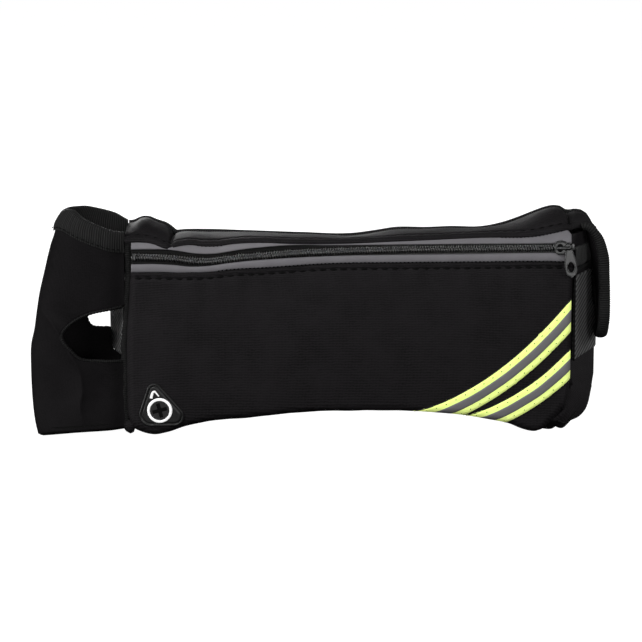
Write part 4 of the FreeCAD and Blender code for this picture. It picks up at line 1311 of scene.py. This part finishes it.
def opening_edges():
    """Overlocked edge round both openings."""
    for word, corners, side in (("front", FRONT_CUT, -1), ("rear", REAR_CUT, 1)):
        outline = resample(soft_outline(corners), 260)
        keep = outline[outline[:, 0] < SEAM_X - 0.5]
        start = int(np.argmax(np.linalg.norm(np.diff(np.concatenate([keep, keep[:1]]), axis=0), axis=1))) + 1
        keep = np.roll(keep, -start, axis=0)
        path = sleeve_point(sleeve_angle(keep[:, 0], keep[:, 1], side), keep[:, 1], -0.9)
        wobble = 1 + 0.12 * np.sin(np.arange(len(path)) * 1.7)
        radii = np.stack([1.0 * wobble, 1.35 * wobble], 1)
        add_tube("opening_edge_" + word, path, radii, 10, "seam", (-0.3, side * 1.0, 0))


def sleeve_hem():
    """Ribbed elastic folded over the mouth, seen outside and inside."""
    angles = np.linspace(-90, 90, 360)
    height = 10.8
    steps = []
    for t in np.linspace(0, 1, 16):
        steps.append((0.9, -height + height * t - 0.4 * (1 - t)))
    for turn in np.linspace(0, np.pi, 9)[1:-1]:
        steps.append((0.9 - 2.0 * (1 - math.cos(turn)), 1.1 * math.sin(turn)))
    for t in np.linspace(0, 1, 12):
        steps.append((-3.1, -height * t))
    rim = rim_height(angles)
    rib = 0.16 * np.sin(np.arange(len(angles)) * 2 * np.pi / 3.2)
    outward = np.stack([-np.cos(np.radians(angles)), np.sin(np.radians(angles)), 0 * angles], 1)
    grid = []
    for grow, drop in steps:
        stretch = rib * (1 if grow > 0 else 0.3)
        puff = 0.5 * math.sin(min(1.0, max(0.0, -drop / height)) * math.pi)
        ring = sleeve_point(angles, rim + drop, grow + puff * (1 if grow > 0 else 0))
        grid.append(ring + outward * stretch[:, None])
    points = np.stack(grid, 1)
    mesh = sheet_mesh("sleeve_rim", points, (-1, 0, 0))
    add_piece("sleeve_rim", mesh, "rib_elastic", "pack", ["sleeve_hem"])
    front = np.linspace(-88, 60, 200)
    path = sleeve_point(front, rim_height(front) - height + 1.3, 1.9)
    normal = np.array([-0.4, -1.0, 0.0])
    stitch_row(
        "rim_stitches", path, "pack", pitch=3.2, length=2.2, width=0.3,
        normal=normal / np.linalg.norm(normal),
    )


def sleeve_base():
    """Floor of the sleeve and its bound edge, both near-black: the edge's own dark colour together with
    painted shade from under the sleeve's base.
    """
    angles = np.linspace(-90, 90, 90)
    floor_height = np.clip(base_height(angles) - 1.2, 0, None)
    rings = []
    for shrink, z in (
        (0.0, 1.0), (-0.6, 0.05), (-6.0, 0.0), (-20.0, 0.0), (-20.0, 2.2), (-3.0, 2.4), (-1.5, 4.0),
        (0.0, 4.2), (0.0, 1.0),
    ):
        edge = sleeve_point(angles, np.full(len(angles), 2.0), 0.0)
        centre = np.array([SEAM_X, MIDDLE_Y, 0.0])
        out = edge - centre
        out[:, 2] = 0
        size = np.linalg.norm(out, axis=1)
        ring = centre + out * ((size + shrink - 0.4) / size)[:, None]
        ring[:, 2] = z + floor_height
        rings.append(ring)
    points = np.stack(rings, 1)
    mesh = sheet_mesh("sleeve_floor", points, (0, 0, 1))
    # Near-black thread colour: painted shade under the base, on a bound edge that is also dark itself.
    add_piece("sleeve_floor", mesh, "thread", "pack", ["sleeve_base"])
    rim = sleeve_point(angles, np.full(len(angles), 2.0), -1.0)
    rim[:, 2] = floor_height + 1.2
    fan = [np.array([SEAM_X, MIDDLE_Y, 2.4])] + list(rim)
    faces = [(0, i + 1, i + 2) for i in range(len(angles) - 1)]
    add_piece(
        "sleeve_floor_middle", mesh_from("sleeve_floor_middle", fan, faces), "inside", "pack",
    )


def left_seam():
    """Overlocked seam between the sleeve and the pouch, with its loose end at the bottom."""
    z = np.linspace(5.0, 117.5, 90)
    wander = 0.3 * np.sin(z * 0.21) + 0.2 * np.sin(z * 0.67)
    path = np.stack(
        [left_edge(z) - 0.6 + wander, FRONT_Y + np.interp(z, [5, 95, 117.5], [5.2, 5.2, 3.4]), z], 1,
    )
    add_tube("sleeve_seam", path, (2.5, 2.2), 10, "seam", nodes=["left_seam_binding"])
    tab = [
        (-114.6, FRONT_Y + 5, 9.0), (-114.4, FRONT_Y + 4.4, 5.0), (-113.9, FRONT_Y + 4.2, 2.6),
        (-113.2, FRONT_Y + 4.4, 1.4),
    ]
    grow = np.array([2.4, 3.9, 4.1, 2.9, 1.4])[:, None] * np.array([[1.0, 0.8]])
    path = resample(tab, 5)
    add_tube("seam_end", path, grow, 14, "neoprene")


# ---------------------------------------------------------------- belt

GUSSET_FLARE = 21.6
LEFT_FLARE = 16.5


def plan_path(stations, count=260):
    """Points along straight runs and arcs given as ((x, y), heading in degrees)."""
    points = []
    for (start, heading), (end, turned) in zip(stations, stations[1:]):
        start, end = np.array(start), np.array(end)
        if abs(turned - heading) < 0.01:
            points += [start + (end - start) * t for t in np.linspace(0, 1, 40)[:-1]]
            continue
        chord = np.linalg.norm(end - start)
        radius = chord / (2 * math.sin(math.radians(turned - heading) / 2))
        h = math.radians(heading)
        centre = start + radius * np.array([-math.sin(h), math.cos(h)])
        for t in np.linspace(0, 1, 40)[:-1]:
            a = h + math.radians(turned - heading) * t
            points.append(centre + radius * np.array([math.sin(a), -math.cos(a)]))
    points.append(np.array(stations[-1][0]))
    return resample(points, count)


def webbing(name, path, body, node, seed):
    """Flat woven belt on edge, with rolled edges and a slight sway."""
    tangent = directions(path)
    side = np.stack([-tangent[:, 1], tangent[:, 0]], 1)
    low, high = BELT_LOW[2], BELT_HIGH[2]
    middle, half = (low + high) / 2, (high - low) / 2
    thick = 0.8
    ring = []
    for t in np.linspace(-1, 1, 28):
        ring.append((t * (half - 0.7), thick))
    for turn in np.linspace(90, -90, 7)[1:-1]:
        ring.append((half - 0.7 + 0.7 * math.cos(math.radians(turn)), thick * math.sin(math.radians(turn))))
    for t in np.linspace(1, -1, 28):
        ring.append((t * (half - 0.7), -thick))
    for turn in np.linspace(-90, -270, 7)[1:-1]:
        ring.append((-half + 0.7 + 0.7 * math.cos(math.radians(turn)), thick * math.sin(math.radians(turn))))
    run = lengths(path)
    grid = np.zeros((len(path), len(ring), 3))
    weave = np.zeros((len(path), len(ring), 3))
    for j, (dz, off) in enumerate(ring):
        edge = 0.15 * np.sin(run * 0.9) * (abs(dz) > half - 2)
        sway = 0.25 * ripples(run, dz * 0.6, 0, 22.0, seed)
        grid[:, j, :2] = path + side * (off + sway)[:, None]
        grid[:, j, 2] = middle + dz + edge * np.sign(dz) * 0.5
        weave[:, j, 0] = run
        weave[:, j, 1] = dz
    faces = grid_faces(len(path), len(ring), closed=True)
    faces.append(tuple(range(len(ring)))[::-1])
    faces.append(tuple(range((len(path) - 1) * len(ring), len(path) * len(ring))))
    mesh = mesh_from(name, grid.reshape(-1, 3), faces, weave.reshape(-1, 3))
    return add_piece(name, mesh, "webbing", body, [node])


def belt():
    female_low, female_high = box_mm("buckle_female")
    male_high = box_mm("buckle_male")[1]
    back = (female_low[1] + female_high[1]) / 2
    fold = 2.6
    near = back - fold
    bar = female_low[0] + 2.0
    heading = 90.0 + LEFT_FLARE
    h = math.radians(heading)
    start = np.array([SEAM_X + 1.6, FRONT_Y + 4.4])
    leave = start + 38.0 * np.array([math.cos(h), math.sin(h)])
    bend = (near - leave[1]) / (1 - math.cos(h))
    arrive = (leave[0] + bend * math.sin(h), near)
    left = plan_path([
        (start, heading), (leave, heading), (arrive, 0.0), ((bar, near), 0.0),
        ((bar + fold, back), 90.0), ((bar, back + fold), 180.0), ((bar - 45.0, back + fold), 180.0),
    ])
    webbing("belt_left", left, "pack", "belt_strap_left", 2.0)
    heading = 90.0 - GUSSET_FLARE
    h = math.radians(heading)
    along = np.array([math.cos(h), math.sin(h)])
    start = np.array([RIGHT_X + 1.4 * math.sin(h), FRONT_Y - 1.4 * math.cos(h)]) + along * 2.6
    leave = start + along * 41.4
    bend = (near - leave[1]) / (1 + math.cos(h))
    bar = male_high[0] - 2.0
    centre_x = leave[0] - bend * math.sin(h)
    right = plan_path([
        (start, heading), (leave, heading), ((centre_x, near), 180.0), ((bar, near), 180.0),
        ((bar - fold, back), 90.0), ((bar, back + fold), 0.0), ((bar + 78.0, back + fold), 0.0),
    ], 420)
    edge = [
        (right[0, 0] - 0.1, right[0, 1] - 0.5, z)
        for z in np.linspace(BELT_LOW[2] - 0.6, BELT_HIGH[2] + 0.6, 40)
    ]
    add_tube("belt_right_seam", edge, (0.6, 0.6), 10, "thread")
    strap = webbing("belt_right", right, "pack", "belt_strap_right", 8.0)
    strap.parent = None
    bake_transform(strap)
    return back, fold


def belt_stitching(back, fold):
    """Box stitching where the left strap is sewn back on itself."""
    female_low = box_mm("buckle_female")[0]
    low, high = BELT_LOW[2] + 3, BELT_HIGH[2] - 3
    x0, x1 = female_low[0] - 40, female_low[0] - 12
    y = back + fold + 0.85
    corners = [
        (x0, y, low), (x1, y, low), (x1, y, high), (x0, y, high), (x0, y, low), (x1, y, high), (x1, y, low),
        (x0, y, high),
    ]
    path = []
    for a, b in zip(corners, corners[1:]):
        path += [np.array(a) + (np.array(b) - np.array(a)) * t for t in np.linspace(0, 1, 30)]
    stitch_row("fold_stitches", path, "pack", pitch=3.0, length=2.3, width=0.35, lift=0.25, normal=(0, 1, 0))


# ---------------------------------------------------------------- right end

def gusset_band():
    """Ribbed elastic across the right gusset and the seam under it."""
    h = math.radians(90.0 - GUSSET_FLARE)
    along = np.array([math.cos(h), math.sin(h)])
    out = np.array([math.sin(h), -math.cos(h)])
    start = np.array([RIGHT_X, FRONT_Y]) + along * 3.2
    u = np.linspace(0, 38.5, 160)
    rows = np.linspace(0, 1, 14)
    low, high = 100.6, 112.6
    grid = np.zeros((len(u), len(rows), 3))
    rib = 0.16 * np.sin(u * 2 * np.pi / 1.25)
    for j, t in enumerate(rows):
        off = 1.1 + 1.0 * math.sin(math.pi * t) ** 0.5 + rib
        grid[:, j, :2] = start + along * u[:, None] + out * off[:, None]
        grid[:, j, 2] = low + (high - low) * t + 0.3 * np.sin(u * 0.3)
    mesh = sheet_mesh("gusset_rib", grid, (1, 0, 0))
    thicken(
        add_piece("gusset_rib", mesh, "gusset_elastic", "pack", ["gusset_elastic_band"]), 0.8,
    )
    edge = np.stack([*(start + along * u[:, None] + out * 1.5).T, np.full(len(u), 99.4)], 1)
    add_tube("gusset_seam", edge, (1.1, 0.7), 8, "binding", (out[0], out[1], 0))


flap_x = smooth_line(
    (0, 151.5), (5, 155.0), (10, 158.8), (16, 162.6), (26, 165.6), (40, 166.6), (62, 167.2), (79, 166.6),
)
flap_z = smooth_line(
    (0, 121.8), (5, 123.4), (10, 121.6), (16, 117.0), (26, 107.4), (40, 93.4), (62, 71.4), (79, 54.6),
)


def flap_frame(s):
    """Middle of the flap's thickness and its outward direction, s mm from its sewn edge."""
    x, z = flap_x(s), flap_z(s)
    dx, dz = flap_x(s + 0.2) - flap_x(s - 0.2), flap_z(s + 0.2) - flap_z(s - 0.2)
    size = np.hypot(dx, dz)
    return x, z, -dz / size, dx / size


FLAP_LENGTH = 77.5
FLAP_MIDDLE_Y = (FLAP_LOW[1] + FLAP_HIGH[1]) / 2
FLAP_HALF = (FLAP_HIGH[1] - FLAP_LOW[1]) / 2


def flap_width(s):
    """Half of the flap's width along Y: straight sides and a round lower end."""
    round_part = np.clip((s - (FLAP_LENGTH - FLAP_HALF)) / FLAP_HALF, 0, 1)
    taper = np.interp(s, [0, 12], [0.82, 1.0])
    return FLAP_HALF * np.sqrt(np.clip(1 - round_part**2, 0.0, 1)) * taper


flap_inner = smooth_line((0, 1.5), (8, 3.6), (18, 6.4), (28, 6.2), (42, 4.6), (60, 3.8), (FLAP_LENGTH, 2.2))


def inflate(mesh, voxel, cap, held, reach):
    """Swell a closed form with a short cloth simulation, and return its points and faces.

    Points within reach of the held ones stay where they are, and the others move no further than cap.
    """
    scene = bpy.context.scene
    form = new_object("inflate", mesh)
    remesh = form.modifiers.new("remesh", "REMESH")
    remesh.mode = "VOXEL"
    remesh.voxel_size = voxel * MM
    form.data = applied(form)
    form.modifiers.clear()
    start = np.array([v.co for v in form.data.vertices])
    near = np.min(np.linalg.norm(start[:, None] - held[None] * MM, axis=2), axis=1)
    pins = form.vertex_groups.new(name="held")
    pins.add([int(i) for i in np.where(near < reach * MM)[0]], 1.0, "REPLACE")
    cloth = form.modifiers.new("cloth", "CLOTH")
    cloth.settings.quality = 6
    cloth.settings.mass = 0.2
    cloth.settings.bending_stiffness = 0.1
    cloth.settings.tension_stiffness = 2.0
    cloth.settings.compression_stiffness = 2.0
    cloth.settings.shear_stiffness = 1.0
    cloth.settings.use_pressure = True
    cloth.settings.uniform_pressure_force = 4.0
    cloth.settings.vertex_group_mass = "held"
    cloth.settings.effector_weights.gravity = 0.0
    for step in range(1, 21):
        scene.frame_set(step)
    swollen = form.evaluated_get(bpy.context.evaluated_depsgraph_get()).data
    moved = np.array([v.co for v in swollen.vertices]) - start
    size = np.linalg.norm(moved, axis=1, keepdims=True) + 1e-9
    end = start + moved * np.minimum(1.0, cap * MM / size)
    form.modifiers.clear()
    scene.frame_set(1)
    form.data.vertices.foreach_set("co", end.ravel())
    form.modifiers.new("subdivision", "SUBSURF").levels = 1
    fine = form.evaluated_get(bpy.context.evaluated_depsgraph_get()).data
    points = np.array([v.co for v in fine.vertices]) / MM
    faces = [tuple(face.vertices) for face in fine.polygons]
    bpy.data.objects.remove(form)
    return points, faces


def flap_rim():
    """Path round the flap's free edge and the outward direction along it."""
    edge_s = np.linspace(3, FLAP_LENGTH - FLAP_HALF, 60)
    end = np.linspace(0, np.pi, 50)[1:-1]
    route = [(s, -flap_width(s)) for s in edge_s]
    route += [(FLAP_LENGTH - FLAP_HALF + FLAP_HALF * math.sin(a), -FLAP_HALF * math.cos(a)) for a in end]
    route += [(s, flap_width(s)) for s in edge_s[::-1]]
    path, normals = [], []
    for s, side in route:
        x, z, nx, nz = (float(v) for v in flap_frame(min(s, FLAP_LENGTH)))
        path.append((x, FLAP_MIDDLE_Y + float(side) * 0.965, z))
        normals.append((nx, 0.0, nz))
    return resample(path, 420), resample(normals, 420)


def flap_pad():
    """Padded flap: one crowned form whose edge is thinner than its middle."""
    s_values = np.r_[
        np.linspace(0, FLAP_LENGTH - FLAP_HALF, 50),
        FLAP_LENGTH - FLAP_HALF + FLAP_HALF * np.sin(np.linspace(0, np.pi / 2, 24))[1:],
    ]
    s_values[-1] -= 0.02
    sides = 44
    turn = np.linspace(0, 2 * np.pi, sides, endpoint=False)
    cos, sin = np.cos(turn), np.sin(turn)
    wide = np.sign(cos) * np.abs(cos) ** 0.55
    thick = np.sign(sin) * np.abs(sin) ** 0.75
    rings = []
    weave = []
    for s in s_values:
        x, z, nx, nz = (float(v) for v in flap_frame(s))
        half = max(0.6, float(flap_width(s)) - 1.2)
        outer = float(np.interp(s, [0, 8, 20, 60, FLAP_LENGTH], [1.4, 1.9, 2.2, 2.3, 1.6]))
        inner = float(flap_inner(s)) * 0.88
        depth = np.where(sin > 0, outer, inner)
        y = FLAP_MIDDLE_Y + half * wide
        push = depth * thick + 0.25 * ripples(y, s, 0 * y, 12.0, 4.4)
        rings.append(np.stack([x + nx * push, y, z + nz * push], 1))
        weave.append(np.stack([np.full(sides, s), y, 0 * y], 1))
    faces = grid_faces(len(s_values), sides, closed=True)
    faces.append(tuple(range(sides))[::-1])
    faces.append(tuple(range((len(s_values) - 1) * sides, len(s_values) * sides)))
    path = flap_rim()[0]
    mesh = mesh_from("flap_pad", np.concatenate(rings), faces, np.concatenate(weave))
    points, faces = inflate(mesh, 1.3, 1.3, np.concatenate([path[::3], rings[0]]), 2.6)
    mesh = mesh_from("flap_pad", points, faces, points[:, [1, 2, 0]])
    pad = add_piece("flap_pad", mesh, "neoprene", "side_flap", ["side_flap"])
    return pad


def flap_edge():
    """Woven binding round the flap."""
    path, normals = flap_rim()
    run = lengths(path)
    swell = 1 + 0.05 * np.sin(run * 2 * np.pi / 1.3)
    radii = np.stack(
        [1.8 * swell, 3.5 * swell * np.interp(run, [0, 25, run[-1] - 25, run[-1]], [0.6, 1, 1, 0.6])], 1,
    )
    mesh = tube_mesh("flap_edge", path, radii, 14, normals)
    return add_piece("flap_edge", mesh, "binding", "side_flap", ["flap_binding"])


def flap_hooks():
    """Hook tape on the flap's inner face."""
    hooks = []
    for i in range(15):
        for j in range(13):
            s = 40 + 1.25 * i
            x, z, nx, nz = (float(v) for v in flap_frame(s))
            y = FLAP_MIDDLE_Y - 8 + 1.3 * j
            lean = 0.35 * math.sin(3.1 * i + 1.7 * j)
            inner = np.array([x, y, z]) - np.array([nx, 0, nz]) * (float(flap_inner(s)) + 0.2)
            tip = inner - np.array([nx, 0, nz]) * 1.3 + np.array([0, lean, 0.5])
            hooks.append(
                tube_mesh(
                    "hook", [inner, (inner + tip) / 2 + np.array([0, lean * 0.3, -0.1]), tip], (0.16, 0.16),
                    5,
                )
            )
    plate = np.zeros((20, 12, 3))
    for i, s in enumerate(np.linspace(38, 60, 20)):
        x, z, nx, nz = (float(v) for v in flap_frame(s))
        for j, y in enumerate(np.linspace(-9.5, 9.5, 12)):
            plate[i, j] = (x - nx * (flap_inner(s) + 0.4), FLAP_MIDDLE_Y + y, z - nz * (flap_inner(s) + 0.4))
    base = sheet_mesh("hook_base", plate, (-1, 0, 0))
    mesh = join_meshes("flap_hooks", [base] + hooks)
    add_piece("flap_hooks", mesh, "hook_tape", "side_flap", ["flap_hook_tape"])


def bend_flap_top(pieces):
    """Takes the flap's pieces off their body and bakes their place into their meshes."""
    for thing in pieces:
        thing.parent = None
        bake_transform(thing)


# ---------------------------------------------------------------- topstitching

def welt_stitching():
    """Close dark stitches along the lower edge of the lower welt and the hem over the upper one."""
    xs = np.linspace(-62, RIGHT_X - 4, 500)
    path = np.stack([xs, np.full(len(xs), FRONT_Y - 0.75), welt_bottom(xs) + 0.25], 1)
    stitch_row("welt_stitches_low", path, "pack", pitch=2.3, length=1.1, width=0.36, lift=0.15)
    for word, x0, x1 in (("left", -74, -58), ("right", 104, 141)):
        xs = np.linspace(x0, x1, 160)
        z = lip_top(xs) - 0.5
        path = np.stack([xs, FRONT_Y - 0.6 + LIP_LEAN * (z - lip_bottom(xs)), z], 1)
        stitch_row("welt_stitches_" + word, path, "pack", pitch=2.1, length=1.2, width=0.4, lift=0.3)


def topstitching():
    xs = np.linspace(LEFT_X + 4, RIGHT_X - 4, 500)
    z = welt_bottom(xs) - STITCH_BELOW_WELT
    path = on_panel(np.stack([xs, z], 1), 0.05)
    stitch_row("front_topstitch", path, "pack", pitch=6.0, length=4.2, width=0.8)
    s = np.full_like(xs, TOP_GROOVE)
    y, z = top_point(xs, s)
    path = np.stack([xs, y, z + 0.1], 1)
    up = np.array([0.0, -0.4, 0.92])
    stitch_row("top_topstitch", path, "pack", pitch=5.4, length=3.7, width=0.42, normal=up)


# ---------------------------------------------------------------- stage

LAMPS = (
    ("key", (-0.75, -1.0, 0.9), 0.55, 15.0),
    ("fill", (0.9, -1.1, 0.5), 0.5, 6.5),
    ("top", (0.05, 0.05, 1.3), 0.6, 2.6),
    ("low", (0.1, -1.5, 0.12), 0.6, 6.0),
    ("rear", (-0.5, 1.6, 0.3), 0.7, 26.0),
    ("side", (1.4, 0.5, 0.5), 0.5, 5.0),
    ("other_side", (-1.5, -0.35, 0.12), 0.5, 13.0),
)


def soft_box(name, place, size, power):
    """Square lamp that faces the pack."""
    data = bpy.data.lights.new(name, "AREA")
    data.energy = power
    data.size = size
    light = new_object(name, data)
    light.location = place
    light.rotation_euler = (Vector((0, 0, 0.06)) - Vector(place)).to_track_quat("-Z", "Y").to_euler()


def stage():
    """White floor and backdrop that hardly light the pack, and soft boxes that do."""
    reach = 40.0
    floor_mesh = bpy.data.meshes.new("floor")
    floor_mesh.from_pydata(
        [(-reach, -reach, 0), (reach, -reach, 0), (reach, reach, 0), (-reach, reach, 0)], [], [(0, 1, 2, 3)],
    )
    floor = new_object("floor", floor_mesh)
    material = new_material("pale_floor", (0.3, 0.3, 0.3), 0.9, gloss=0.0)
    shader = material.node_tree.nodes["Principled BSDF"]
    shader.inputs["Emission Color"].default_value = (1, 1, 1, 1)
    shader.inputs["Emission Strength"].default_value = 1.0
    floor_mesh.materials.append(material)
    floor.location.z = -0.0002
    floor.visible_diffuse = False
    floor.visible_glossy = False
    world = bpy.data.worlds.new("studio")
    bpy.context.scene.world = world
    world.use_nodes = True
    world.node_tree.nodes["Background"].inputs["Color"].default_value = (1, 1, 1, 1)
    world.node_tree.nodes["Background"].inputs["Strength"].default_value = 1.0
    world.cycles_visibility.diffuse = False
    world.cycles_visibility.glossy = False
    for name, place, size, power in LAMPS:
        soft_box(name, place, size, power)
    scene = bpy.context.scene
    scene.view_settings.view_transform = "Standard"
    scene.view_settings.look = "None"


def camera():
    """Long lens, level with the pack's middle and ten degrees above it."""
    data = bpy.data.cameras.new("camera")
    elevation = math.radians(10)
    distance = 1.5
    aim = Vector((-0.0009, FRONT_Y * MM, 0.0694))
    width = 0.3775
    data.lens = data.sensor_width * distance / width
    data.clip_start = 0.05
    data.clip_end = 200
    thing = new_object("camera", data)
    back = Vector((0, -math.cos(elevation), math.sin(elevation)))
    thing.location = aim + back * distance
    thing.rotation_euler = (-back).to_track_quat("-Z", "Y").to_euler()
    bpy.context.scene.camera = thing


# ---------------------------------------------------------------- assemble

camera()
stage()
front_panel()
gussets()
back_panel()
top_panel()
top_crease_shade()
welts_and_tapes()
coils()
bevelled_copy("zip_stops", "zip_end_stops", "zip_metal", "pack", 0.25)
slider()
pull()
bands()
port_patch()
port_ring()
port_membrane()
port_sign()
bottle_sleeve()
opening_edges()
sleeve_hem()
sleeve_base()
left_seam()
BACK_RUN, FOLD = belt()
belt_stitching(BACK_RUN, FOLD)
for piece, part, rides_on, rounding in (
    ("buckle_housing", "buckle_female", "pack", 0.9),
    ("buckle_head", "buckle_male", "buckle_male", 0.7),
    ("arm_upper", "latch_arm_upper", "latch_arm_upper", 0.6),
    ("arm_lower", "latch_arm_lower", "latch_arm_lower", 0.6),
    ("keeper", "strap_keeper", "strap_keeper", 0.5),
):
    bevelled_copy(piece, part, "buckle_plastic", rides_on, rounding)
gusset_band()
bend_flap_top((flap_pad(), flap_edge()))
flap_hooks()
welt_stitching()
topstitching()
